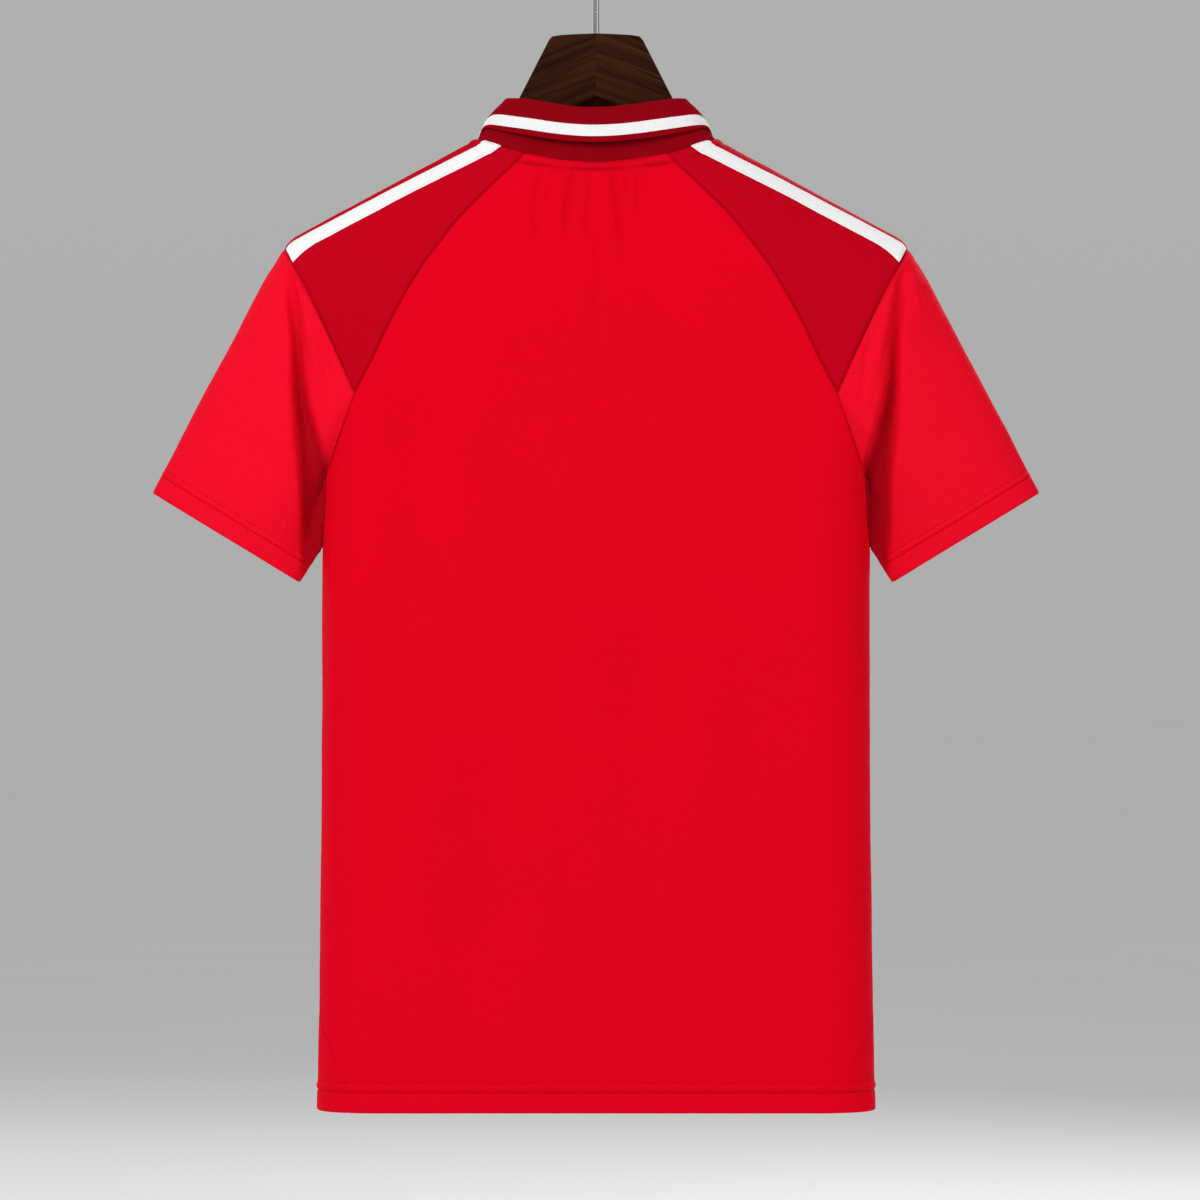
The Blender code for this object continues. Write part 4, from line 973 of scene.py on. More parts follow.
def sleeve(name, hand, seed):
    base, face, start, from_seam, from_cuff, tucked, under, stitch_rows = sleeve_form()
    x, _, level = np.moveaxis(base, -1, 0)
    side = np.broadcast_to(face, x.shape)
    room = np.maximum(np.abs(base[..., 1]) - FOLD_FLOOR, 0.0)
    sunk = fold_depth(x, level) * smooth_step(from_seam, 0.0, 0.010)
    base[..., 1] -= side * softened(room * np.tanh(sunk / np.maximum(room, 1e-6)), FOLD_SOFTENING)
    # Painted shade inside the fold beside the body, by the fold's depth.
    painted_fold_shade = softened(fold_depth(x, level) / FULL_DEPTH, FOLD_SOFTENING)
    normals = grid_normals(base, closed=True)
    round_arm = np.broadcast_to(walk_along(start), x.shape)
    underarm = np.abs(round_arm - round_arm[0, len(face) // 2])
    closing = smooth_step(from_cuff, 0.0, 0.010)
    flat = mix(0.25, 1.0, smooth_step(np.abs(base[..., 1]), 0.0020, 0.0065))
    relief = (seam_relief(from_seam, round_arm, seed)
              + UNDERARM_SEAM * seam_relief(underarm, from_seam, seed)
              * smooth_step(from_seam, 0.002, 0.008)
              + hem_relief(from_cuff, round_arm, CUFF_LINES, seed) * flat
              - crease_depth(SLEEVE_CREASES, x, level, side) * smooth_step(from_seam, 0.0, 0.006)
              + unevenness(base, *SLEEVE_UNEVEN, seed) * closing)
    outer = base + normals * relief[..., None]
    folded = 1.0 - smooth_step(from_cuff, CUFF_LINES[1] + 0.001, CUFF_LINES[1] + 0.002)
    inner = outer - grid_normals(outer, closed=True) * (CLOTH * (1.0 + folded))[..., None]
    lengths = np.stack([round_arm, from_seam], axis=-1)
    lengths = np.vstack([lengths[:1] - [0.0, SEAM_TUCK], lengths])
    # The marks paint shade along the armhole seam and in the fold.
    mirror = np.array([hand, 1.0, 1.0])
    piece = cloth_wall(name, np.vstack([tucked[None], outer]) * mirror,
                       np.vstack([(tucked - under * CLOTH)[None], inner]) * mirror, lengths,
                       SLEEVE_JERSEY_PAINTED_LIGHT, closed=True,
                       marks={"seam": bump_at(lengths[..., 1], *SEAM_PAINTED_SHADE),
                              "painted_fold_shade": np.vstack([painted_fold_shade[:1], painted_fold_shade])})
    return piece, [(outer[row] * mirror, normals[row] * mirror) for row in stitch_rows]


sleeves = {side: sleeve("sleeve_cloth_" + side, hand, seed)
           for (side, hand), seed in zip(HANDS.items(), (21.7, 27.1))}

# %% [markdown]
# ## The ribbed collar
#
# A polo collar is knitted to shape in one flat band: it stands up from the neck seam, folds
# over and falls to its free edge, with a white stripe knitted in near that edge. Each section
# through the band is one line of points, and the sections follow each other round the neck.
# The ribs repeat along the whole band, which is work for Geometry Nodes: a small tree moves
# every point along its normal by a cosine of the walk round the neck, and gives the faces
# between two distances from the edge the white yarn.

# %% The collar's band
COLLAR_WALL, COLLAR_FOLD = 0.0014, 0.0034
COLLAR_TOP_HALF, COLLAR_TOP_BACK, COLLAR_TOP_FRONT = 0.0645, 0.0240, 0.0325
RIB_PITCH, RIB_HEIGHT = 0.00170, 0.00016
STRIPE = (0.0037, 0.0128)         # distance of the white stripe from the free edge
COLLAR_END = 178.0
SIDE_NARROWING = (85.0, 28.0, 0.55)   # the strip below the stripe rolls under at the sides
# The back and the sides of the band: turn round the neck in degrees (0 at the back), the
# free edge's height and how far that edge stands off the stand.
COLLAR_BACK = ((-40, -0.1475, 0.0070), (0, -0.1545, 0.0078), (20, -0.1523, 0.0075),
               (40, -0.1475, 0.0062), (55, -0.1440, 0.0042), (70, -0.1411, 0.0030),
               (85, -0.1404, 0.0026), (110, -0.1440, 0.0028), (180, -0.1930, 0.0028))
# The front: turn, the free edge's distance out and height, and how far it lies off the cloth.
COLLAR_FRONT = ((60, 0.0836, -0.1418, 0.0030), (70, 0.0862, -0.1432, 0.0029),
                (80, 0.0890, -0.1452, 0.0027), (90, 0.0918, -0.1490, 0.0025),
                (102, 0.0944, -0.1585, 0.0025), (118, 0.0945, -0.1745, 0.0026),
                (145, 0.0830, -0.2150, 0.0028), (180, 0.0520, -0.2540, 0.0030))
COLLAR_HANDOVER = (77.0, 119.0)   # turns between which the edge passes from stand to cloth
FOLD_LEVELS = ((-40, -0.1219), (0, -0.1267), (23, -0.1246), (40, -0.1219), (55, -0.1198),
               (70, -0.1190), (90, -0.1192), (102, -0.1232), (118, -0.1345), (145, -0.1620),
               (180, -0.1935))
STAND_OVERLAP = 0.0017            # the stand's foot reaches this far below the neckline
EDGE_SMOOTHING = 50               # passes of neighbour averaging along the free edge
# Points of each section: on the stand, round the fold and on the fall to the free edge.
STAND_ROWS, FOLD_TURNS, FALL_ROWS = 9, (30, 60, 90, 120, 150), 20
BELOW_STRIPE = (0.0036, 0.0024, 0.0012, 0.0004, 0.0)   # rows there, from the edge
STRIPE_ROWS, STRIPE_MARGIN = 7, 0.0010
MEASURED_POINT = 17               # the ribs are evenly spaced along this point's line
BEYOND_STRIPE = 0.1               # a distance that stands for far from the edge
SIDE_CROWN = (103.0, 13.0, 0.0035)   # turn, spread and height of the fall's swelling
CROWN_BACK, CROWN_FRONT = 0.0012, 0.0026


def collar_stand(degrees):
    """Foot and top of the stand at signed turns, and the direction away from it."""
    turn, back = np.radians(degrees), np.abs(degrees) <= 90.0
    out = NECK_HALF * np.sin(turn)
    level = np.where(back, neckline(out, +1), neckline(out, -1))
    foot = torso_point(out, level, np.where(back, 1.0, -1.0)) - [0.0, 0.0, STAND_OVERLAP]
    fold_level = read_table(FOLD_LEVELS, np.abs(degrees), 1) - (COLLAR_FOLD + COLLAR_WALL) / 2.0
    depth = np.where(back, COLLAR_TOP_BACK, COLLAR_TOP_FRONT) * np.cos(turn)
    top = np.stack([COLLAR_TOP_HALF * np.sin(turn), depth, fold_level], axis=-1)
    return foot, top, unit(np.stack([np.sin(turn), np.cos(turn), 0.25 + 0.0 * turn], axis=-1))


def free_edge(degrees):
    """The band's lower edge: beside the stand at the back, on the cloth at the front."""
    around, hand = np.abs(degrees), np.sign(degrees) + (degrees == 0)
    foot, top, aside = collar_stand(degrees)
    out, level, lift = read_table(COLLAR_FRONT, around, 1, 2, 3)
    on_cloth = torso_point(hand * out, np.minimum(level, ridge_level(out)),
                           np.where(around <= 90.0, 1.0, -1.0), lift + COLLAR_WALL / 2.0)
    on_cloth[:, 2] = np.maximum(on_cloth[:, 2], level)
    back_level, off_stand = np.array(read_table(COLLAR_BACK, around, 1, 2))[..., None]
    up_stand = (back_level - foot[:, 2:]) / (top[:, 2:] - foot[:, 2:])
    by_stand = mix(foot, top, up_stand) + aside * off_stand
    return mix(by_stand, on_cloth, smooth_step(around, *COLLAR_HANDOVER)[:, None])


EDGE_TURNS = np.arange(-COLLAR_END, COLLAR_END + 0.5, 1.0)
EDGE_LINE = free_edge(EDGE_TURNS)
for _ in range(EDGE_SMOOTHING):
    EDGE_LINE[1:-1] = (EDGE_LINE[:-2] + 2.0 * EDGE_LINE[1:-1] + EDGE_LINE[2:]) / 4.0


def collar_sections(degrees):
    """Middle lines of the band at signed turns, and each point's distance from the edge."""
    around = np.abs(degrees)
    base, top, aside = collar_stand(degrees)
    edge = np.stack([np.interp(degrees, EDGE_TURNS, axis) for axis in EDGE_LINE.T], axis=-1)
    fall_top = top + aside * COLLAR_FOLD
    line = [mix(base, top, share) for share in np.linspace(0.0, 1.0, STAND_ROWS)]
    for angle in np.radians(FOLD_TURNS):
        line.append((top + fall_top) / 2.0 + COLLAR_FOLD / 2.0 * (
            np.array([0.0, 0.0, math.sin(angle)]) - aside * math.cos(angle)))
    crown = (mix(CROWN_BACK, CROWN_FRONT, smooth_step(around, 80.0, 150.0))
             + bump_at(around, *SIDE_CROWN))[:, None]
    length = np.linalg.norm(edge - fall_top, axis=-1, keepdims=True)
    low, high = STRIPE
    fixed = (*np.linspace(high, low, STRIPE_ROWS), *BELOW_STRIPE)
    above = np.linspace(1.0, 0.0, FALL_ROWS - len(fixed))
    from_edge = np.hstack([mix(high + STRIPE_MARGIN, length, share) for share in above]
                          + [np.full_like(length, distance) for distance in fixed])
    rolled = bump_at(around, *SIDE_NARROWING)[:, None]
    shares = 1.0 - (from_edge - np.minimum(from_edge, low) * rolled) / length
    for share in np.split(shares, FALL_ROWS, axis=1):
        line.append(mix(fall_top, edge, share) + aside * 4.0 * share * (1.0 - share) * crown)
    far = np.full((len(around), len(line) - FALL_ROWS), BEYOND_STRIPE)
    return np.stack(line, axis=1), np.hstack([far, from_edge])


def collar_band():
    """The band, with its sections a quarter of a rib apart."""
    turns = np.arange(-COLLAR_END, COLLAR_END + 0.25, 0.5)
    reach = walk_along(collar_sections(turns)[0][:, MEASURED_POINT])
    walked = np.arange(0.0, reach[-1], RIB_PITCH / 4.0)
    middle, from_edge = collar_sections(np.interp(walked, reach, turns))
    normals = grid_normals(middle)
    middle = middle + normals * (0.00045 * wander(middle, 30.0, 33.3)
                                 + 0.00018 * wander(middle, 90.0, 35.1))[..., None]
    run = np.broadcast_to(walked[:, None], from_edge.shape)
    return cloth_wall("collar_band", middle + normals * COLLAR_WALL / 2.0,
                      middle - normals * COLLAR_WALL / 2.0,
                      np.stack([run, walk_across(middle)], axis=-1),
                      marks={"run": run, "from_edge": from_edge})


collar = collar_band()

# %% [markdown]
# ## Ribs with Geometry Nodes
#
# A node tree is built in the script like any other data. Its named inputs hold the sizes, and
# a modifier's input is set by the socket's identifier. The evaluated result is then written
# back as a plain mesh, so nothing live is left on the piece.

# %% The rib tree
def node_group(name, inputs):
    tree = bpy.data.node_groups.new(name, "GeometryNodeTree")
    tree.interface.new_socket("Geometry", in_out="OUTPUT", socket_type="NodeSocketGeometry")
    for label, kind in {"Geometry": "Geometry", **inputs}.items():
        tree.interface.new_socket(label, in_out="INPUT", socket_type="NodeSocket" + kind)
    return tree, add_node(tree, "NodeGroupInput").outputs


def chain(tree, geometry, *steps):
    """Pass a geometry through nodes in turn, each given by its kind and its other inputs."""
    for kind, inputs in steps:
        node = add_node(tree, "GeometryNode" + kind, inputs)
        tree.links.new(geometry, node.inputs[0])
        geometry = node.outputs[0]
    return geometry


def run_nodes(piece, tree, values):
    """Run a node tree on a piece with named inputs, and keep the result as its plain mesh."""
    modifier = piece.modifiers.new(tree.name, "NODES")
    modifier.node_group = tree
    for item in tree.interface.items_tree:
        if item.in_out == "INPUT" and item.name in values:
            modifier[item.identifier] = values[item.name]
    graph = bpy.context.evaluated_depsgraph_get()
    graph.update()
    plain = bpy.data.meshes.new_from_object(piece.evaluated_get(graph),
                                            preserve_all_data_layers=True, depsgraph=graph)
    piece.modifiers.clear()
    piece.data = plain
    plain.name = piece.name


def named_value(tree, name, kind="FLOAT"):
    return add_node(tree, "GeometryNodeInputNamedAttribute", {"Name": name},
                    data_type=kind).outputs["Attribute"]


def rib_tree():
    tree, given = node_group("knitted_ribs", {
        "Rib Pitch": "Float", "Rib Height": "Float", "Stripe Low": "Float",
        "Stripe High": "Float", "Rib Yarn": "Material", "Stripe Yarn": "Material"})
    from_edge = named_value(tree, "from_edge")
    in_stripe = maths(tree, "MULTIPLY",
                      maths(tree, "GREATER_THAN", from_edge, given["Stripe Low"]),
                      maths(tree, "LESS_THAN", from_edge, given["Stripe High"]))
    turns = maths(tree, "DIVIDE", named_value(tree, "run"), given["Rib Pitch"])
    wave = maths(tree, "COSINE", maths(tree, "MULTIPLY", turns, FULL_TURN))
    softer = maths(tree, "MULTIPLY_ADD", in_stripe, -0.55, 1.0)
    height = maths(tree, "MULTIPLY", maths(tree, "MULTIPLY", wave, softer), given["Rib Height"])
    outward = add_node(tree, "GeometryNodeInputNormal").outputs["Normal"]
    offset = add_node(tree, "ShaderNodeVectorMath", {0: outward, "Scale": height},
                      operation="SCALE").outputs["Vector"]
    ribbed = chain(tree, given["Geometry"],
                   ("SetPosition", {"Offset": offset}), ("RealizeInstances", {}),
                   ("SetMaterial", {"Material": given["Rib Yarn"]}),
                   ("SetMaterial", {"Material": given["Stripe Yarn"], "Selection": in_stripe}))
    add_node(tree, "NodeGroupOutput", {"Geometry": ribbed})
    return tree


def rib_knit(name, colour, contrast):
    """Ribbed cotton-like yarn: painted shade between the ribs, with courses across them."""
    material, tree, shader = new_material(
        name, Roughness=0.78, Specular_IOR_Level=0.03, Sheen_Weight=0.06, Sheen_Roughness=0.5,
        Sheen_Tint=(1.0, 0.05, 0.10, 1.0))
    lengths = cloth_place(tree)
    ribs = waves(tree, mark_value(tree, "run"), RIB_PITCH, "COSINE")
    course = waves(tree, split(tree, lengths)[1], 0.0011)
    yarn = noise_value(tree, lengths, 1.0 / 0.0008)
    tone = weighted(tree, 0.30, (ribs, contrast), (course, contrast * 0.3), (yarn, 0.25),
                    (noise_value(tree, object_place(tree), 24.0), 0.25))
    paint(tree, shader, tone, shades(colour, 0.66, 1.20), maths(tree, "ADD", course, yarn), 0.00007)
    return material


RIB_KNIT = rib_knit("rib_knit", (0.296, 0.0004, 0.0060), 0.22)
WHITE_RIB = rib_knit("white_rib", (0.930, 0.933, 0.940), 0.05)
run_nodes(collar, rib_tree(), {"Rib Pitch": RIB_PITCH, "Rib Height": RIB_HEIGHT,
                               "Stripe Low": STRIPE[0], "Stripe High": STRIPE[1],
                               "Rib Yarn": RIB_KNIT, "Stripe Yarn": WHITE_RIB})
print("collar:", len(collar.data.polygons), "faces,", [m.name for m in collar.data.materials])

# %% [markdown]
# ## The placket
#
# The front opens in a short slit, covered by a straight band with three buttons and backed by
# a second band inside. Both are laid on the finished front panel in the same way as the
# tapes, and the outer one is stitched down along its edges and in a box at its low end.

# %% The placket bands
PLACKET_HALF, BAND_THICKNESS, BAND_ROWS, BAND_COLUMNS = 0.0155, 0.0010, 82, 21
BAND_LOW, UNDER_LOW = PLACKET_LOW - 0.008, PLACKET_LOW - 0.004
BAND_EDGE, BAND_NEEDLE = (0.0, 0.0007, -0.00030), (0.0024, 0.0007, -0.00020)
# Painted shade along the band's edges, and the band's unevenness.
BAND_EDGE_PAINTED_SHADE, BAND_UNEVEN = (0.0, 0.0008, 0.6), 0.00022
BELOW_NECK, UNDER_NARROWER, UNDER_GAP = 0.0008, 0.0015, 0.0003


def placket_band(name, half_width, low, lift, seed):
    across = np.linspace(-half_width, half_width, BAND_COLUMNS)
    z = mix(neckline(across, -1) - BELOW_NECK, low, np.linspace(0.0, 1.0, BAND_ROWS)[:, None])
    x = np.broadcast_to(across, z.shape)
    base, normals = torso_point(x, z, -1.0), torso_normal(x, z, -1.0)
    edge = np.minimum(half_width - np.abs(x), z - low)
    relief = (BAND_UNEVEN * wander(base, 60.0, seed) + bump_at(edge, *BAND_EDGE)
              + bump_at(edge, *BAND_NEEDLE))
    outer = laid_on(front, base, normals, lift + BAND_THICKNESS) + normals * relief[..., None]
    piece = cloth_wall(name, outer, outer - normals * BAND_THICKNESS, np.stack([x, z], axis=-1),
                       RED_JERSEY, marks={"seam": bump_at(edge, *BAND_EDGE_PAINTED_SHADE)})
    return piece, outer, normals


band, band_grid, band_normals = placket_band("placket_outer", PLACKET_HALF, BAND_LOW, 0.0001, 41.0)
under, _, _ = placket_band("placket_inner", PLACKET_HALF - UNDER_NARROWER, UNDER_LOW,
                           -(CLOTH + UNDER_GAP + BAND_THICKNESS), 43.0)

# %% [markdown]
# ## Buttons
#
# A shirt button is turned: a sunken middle, a raised rim and a rounded edge. The top is a
# round grid whose height is read from a table by the radius, and four small wells are pressed
# into it where the thread goes through. Two bars of thread cross the wells.

# %% Buttons and their thread
BUTTON_RADIUS, BUTTON_THICKNESS, BUTTON_SIDES = 0.0057, 0.0026, 60
BUTTON_LEVELS = {"top": -0.2420, "middle": -0.2920, "low": -0.3420}
WELL_PLACE, WELL_RADIUS, WELL_DEPTH = 0.00115, 0.00062, 0.0011
BAR_POINTS, BAR_SIDES, BAR_RADIUS = 9, 8, 0.00030
BAR_RISE, BAR_DIVE = 0.00045, 0.0009   # how far the thread arches and dives into the wells
FACE_POINTS, SEAT_GAP = 30, 0.0002   # the button stands just clear of the band
# Share of the radius, share of the thickness. The rim then turns under in three more rings.
BUTTON_TOP = ((0.0, 0.66), (0.30, 0.66), (0.58, 0.68), (0.72, 0.86), (0.82, 1.00), (0.90, 0.99),
              (0.97, 0.84), (1.0, 0.62))
BUTTON_RIM = np.array([[0.99, 0.36], [0.94, 0.16], [0.80, 0.0]])


def thread(name, colour):
    material, tree, shader = new_material(name, Roughness=0.5, Specular_IOR_Level=0.05)
    strands = noise_value(tree, object_place(tree), 3500.0, stretch=(1.0, 1.0, 0.4))
    paint(tree, shader, strands, shades(colour, 0.70, 1.15), strands, 0.00004)
    return material


RED_THREAD = thread("red_thread", (0.60, 0.0010, 0.0110))
WHITE_THREAD = thread("white_thread", (0.86, 0.865, 0.875))
BUTTON_RED, tree, shader = new_material("button_red", Roughness=0.30, Specular_IOR_Level=0.5,
                                        Coat_Weight=0.35, Coat_Roughness=0.12)
place = object_place(tree)
paint(tree, shader, noise_value(tree, place, 420.0, 4.0, (1.0, 1.0, 0.35)),
      ((0.16, 0.001, 0.005), (0.46, 0.006, 0.018)), noise_value(tree, place, 2500.0, 3.0), 0.000015)


def bars(name, paths, radii, square_to, sides, material):
    """Round bars along flat paths; square_to is the direction square to each path's plane."""
    angle = np.linspace(0.0, FULL_TURN, sides, endpoint=False)[:, None]
    points, faces = [], []
    for path in paths:
        first = len(points) * len(path) * sides
        aside = np.cross(unit(np.gradient(path, axis=0)), square_to)
        ring = np.cos(angle) * aside[:, None] + np.sin(angle) * np.array(square_to)
        points.append((path[:, None] + ring * radii[:, None, None]).reshape(-1, 3))
        last = first + len(points[-1]) - sides
        faces += (grid_quads(len(path), sides, True) + first).tolist()
        faces += [list(range(first, first + sides)), list(range(last, last + sides))]
    return finish_mesh(name, np.concatenate(points), faces, material)


def button(level_name, z):
    middle = band_grid[:, BAND_COLUMNS // 2]
    seat = middle[np.argmin(np.abs(middle[:, 2] - z))] - [0.0, SEAT_GAP, 0.0]
    turned = np.sin(np.linspace(0.0, QUARTER_TURN, FACE_POINTS)[1:])
    radius = np.append(turned, BUTTON_RIM[:, 0])[:, None]
    height = read_table(BUTTON_TOP, radius, 1) * np.ones(BUTTON_SIDES)
    height[-len(BUTTON_RIM):] = BUTTON_RIM[:, 1:]
    angle = np.linspace(0.0, FULL_TURN, BUTTON_SIDES, endpoint=False)
    x, up = radius * np.cos(angle) * BUTTON_RADIUS, radius * np.sin(angle) * BUTTON_RADIUS
    from_well = np.hypot(np.abs(x) - WELL_PLACE, np.abs(up) - WELL_PLACE)
    well = 1.0 - smooth_step(from_well, WELL_RADIUS * 0.7, WELL_RADIUS * 1.25)
    y = WELL_DEPTH * well - height * BUTTON_THICKNESS
    points = np.vstack([np.stack([x, y, up], axis=-1).reshape(-1, 3),
                        [0.0, -BUTTON_TOP[0][1] * BUTTON_THICKNESS, 0.0], [0.0, 0.0, 0.0]])
    ring = np.arange(BUTTON_SIDES)
    after, last = (ring + 1) % BUTTON_SIDES, (len(radius) - 1) * BUTTON_SIDES
    faces = grid_quads(len(radius), BUTTON_SIDES, True).tolist()
    faces += np.stack([0 * ring + len(points) - 2, ring, after], axis=1).tolist()
    faces += np.stack([0 * ring + len(points) - 1, last + after, last + ring], axis=1).tolist()
    share = np.linspace(-1.0, 1.0, BAR_POINTS)
    rise = (0.70 * BUTTON_THICKNESS + BAR_RISE * (1.0 - share ** 2)
            - BAR_DIVE * np.abs(share) ** 6)
    paths = [np.stack([share * WELL_PLACE * 1.05, -rise, 0.0 * share + level], axis=-1) + seat
             for level in (-WELL_PLACE, WELL_PLACE)]
    return (finish_mesh("button_face_" + level_name, points + seat, faces, BUTTON_RED),
            bars("button_thread_" + level_name, paths, np.full(BAR_POINTS, BAR_RADIUS),
                 (0.0, 0.0, 1.0), BAR_SIDES, RED_THREAD))


buttons = {level_name: button(level_name, z) for level_name, z in BUTTON_LEVELS.items()}
print(len(buttons), "buttons, each", len(buttons["top"][0].data.polygons), "faces")

# %% [markdown]
# ## Stitches with Geometry Nodes
#
# Over a thousand stitches hold the shirt together, and they all follow seams. One tree lays
# them: it turns a chain of edges into a curve, puts a point on it at each stitch, turns a
# small thread bead to the curve's direction and to the cloth's outward direction, and sets
# one at every point. A seeded random value makes the beads a little uneven. The same tree
# makes the buttonholes, where the thread lies across the path.

# %% The stitch tree
BEAD_SEGMENTS, BEAD_RINGS = 6, 5
THREAD_RADIUS, THREAD_SINK = 0.00021, 0.00006
STITCH_JITTER = 0.07              # radians by which a stitch may stand askew


def stitch_tree():
    tree, given = node_group("sewn_stitches", {
        "Stitch Pitch": "Float", "Stitch Length": "Float", "Thread Radius": "Float",
        "Across": "Float", "Thread": "Material"})
    seam = chain(tree, given["Geometry"], ("MeshToCurve", {}))
    spaced = add_node(tree, "GeometryNodeResampleCurve",
                      {"Curve": seam, "Length": given["Stitch Pitch"]}, mode="LENGTH")
    tangent = add_node(tree, "GeometryNodeInputTangent").outputs["Tangent"]
    turned = add_node(tree, "FunctionNodeAlignRotationToVector", {"Vector": tangent}, axis="X")
    upright = add_node(tree, "FunctionNodeAlignRotationToVector",
                       {"Rotation": turned.outputs["Rotation"],
                        "Vector": named_value(tree, "outward", "FLOAT_VECTOR")},
                       axis="Z", pivot_axis="X")
    jitter = add_node(tree, "FunctionNodeRandomValue",
                      {"Min": -STITCH_JITTER, "Max": STITCH_JITTER, "Seed": 5}, data_type="FLOAT")
    yaw = add_node(tree, "ShaderNodeCombineXYZ",
                   {"Z": maths(tree, "ADD", jitter.outputs[1], given["Across"])})
    placed = add_node(tree, "FunctionNodeRotateRotation",
                      {"Rotation": upright.outputs["Rotation"], "Rotate By": yaw.outputs["Vector"]},
                      rotation_space="LOCAL")
    size = add_node(tree, "ShaderNodeCombineXYZ",
                    {"X": maths(tree, "MULTIPLY", given["Stitch Length"], 0.5),
                     "Y": given["Thread Radius"], "Z": given["Thread Radius"]})
    bead = add_node(tree, "GeometryNodeMeshUVSphere",
                    {"Segments": BEAD_SEGMENTS, "Rings": BEAD_RINGS})
    shaped = chain(tree, bead.outputs["Mesh"], ("Transform", {"Scale": size.outputs["Vector"]}))
    laid = chain(tree, spaced.outputs["Curve"],
                 ("InstanceOnPoints", {"Instance": shaped, "Rotation": placed.outputs["Rotation"]}),
                 ("RealizeInstances", {}), ("SetShadeSmooth", {}),
                 ("SetMaterial", {"Material": given["Thread"]}))
    add_node(tree, "NodeGroupOutput", {"Geometry": laid})
    return tree


STITCHES = stitch_tree()


def stitched(name, paths, material=RED_THREAD, pitch=0.0031, length=0.0026, across=0.0):
    """Lay stitches on paths, each a pair of points and outward directions."""
    edges, first = [], 0
    for path, _ in paths:
        edges += [(i, i + 1) for i in range(first, first + len(path) - 1)]
        first += len(path)
    points, outward = (np.concatenate(values) for values in zip(*paths))
    mesh = bpy.data.meshes.new(name)
    mesh.from_pydata((points + outward * (THREAD_RADIUS - THREAD_SINK)).tolist(), edges, [])
    layer = mesh.attributes.new("outward", "FLOAT_VECTOR", "POINT")
    layer.data.foreach_set("vector", outward.astype(np.float32).ravel())
    piece = add_object(name, mesh)
    run_nodes(piece, STITCHES, {"Stitch Pitch": pitch, "Stitch Length": length,
                                "Thread Radius": THREAD_RADIUS, "Across": across,
                                "Thread": material})
    print(name, len(piece.data.polygons) // (BEAD_SEGMENTS * BEAD_RINGS), "stitches")
    return piece


print("stitch tree:", len(STITCHES.nodes), "nodes")

# %% Stitches on the shirt
TAPE_STITCH_ROWS = slice(6, -2)   # the tape's stitches keep clear of its ends
NECK_STITCH_REACH = 0.0008        # columns whose nearest point is further off are left out
HOLE_HALF, HOLE_WIDTH, HOLE_SQUARENESS, HOLE_POINTS = 0.0078, 0.0009, 0.35, 41


def hem_paths(grid, normals):
    """Two level rows of a body panel, one on each needle line."""
    level = grid[:, grid.shape[1] // 2, 2] - HEM_LEVEL
    rows = [int(np.argmin(np.abs(level - line))) for line in HEM_LINES]
    return [(grid[row], normals[row]) for row in rows]


def neck_path(grid, normals, neck_distance):
    """The needle line below the neck seam: in each column, the point at the strip's depth."""
    off_line = np.abs(neck_distance - neck_strip(grid[..., 0]))
    off_line[:grid.shape[0] // 2] = 1.0
    rows, columns = np.argmin(off_line, axis=0), np.arange(grid.shape[1])
    reached = off_line[rows, columns] < NECK_STITCH_REACH
    place = rows[reached], columns[reached]
    return grid[place], normals[place]


def band_paths(grid, normals, inset=2, end=3, box=10):
    """Down one side of the placket, across the low end and up the other, and a box seam."""
    low, high = len(grid) - 1 - end, len(grid) - 1 - box
    across = np.arange(inset, grid.shape[1] - inset)
    down = np.arange(2, low)
    rows = np.concatenate([down, np.full(len(across), low), down[::-1]])
    columns = np.concatenate([np.full(len(down), inset), across, np.full(len(down), across[-1])])
    return [(grid[place], normals[place]) for place in ((rows, columns), (high, across))]


def buttonhole_path(z):
    """A narrow upright loop on the placket, behind a button."""
    turn = np.linspace(0.0, FULL_TURN, HOLE_POINTS)
    x = HOLE_WIDTH * np.sign(np.sin(turn)) * np.abs(np.sin(turn)) ** HOLE_SQUARENESS
    level = z + HOLE_HALF * np.cos(turn)
    normals = torso_normal(x, level, -1.0)
    return laid_on(band, torso_point(x, level, -1.0), normals, 0.0), normals


hem_stitches = stitched("hem_stitches_back", hem_paths(back_grid, back_normals))
front_stitches = stitched("hem_stitches_front", hem_paths(front_grid, front_normals))
neck_stitches = stitched("neck_stitches", [neck_path(back_grid, back_normals, back_neck)])
cuff_stitches = {side: stitched("cuff_stitches_" + side, paths)
                 for side, (_, paths) in sleeves.items()}
band_stitches = stitched("placket_stitches", band_paths(band_grid, band_normals))
buttonholes = stitched("buttonholes", [buttonhole_path(z) for z in BUTTON_LEVELS.values()],
                       pitch=0.00055, length=0.0015, across=QUARTER_TURN)
tape_stitches = {
    side: stitched("tape_stitches_" + side,
                   [(grid[TAPE_STITCH_ROWS, column], normals[TAPE_STITCH_ROWS, column])
                    for column in (1, -2)], WHITE_THREAD, 0.0026, 0.0021)
    for side, (_, grid, normals) in tapes.items()}

# %% [markdown]
# ## The hanger
#
# The hanger is two walnut boards, mitred together at the middle, so the grain climbs to the
# joint from both sides in a chevron. Each half is a loft of board sections with rounded
# corners. The wood's material turns the coordinates along each arm, using the distance from
# the middle, and stretches a noise along the grain. A second, finer noise gives the pores.

# %% The wooden halves
HANGER_CLEARANCE = 0.0013
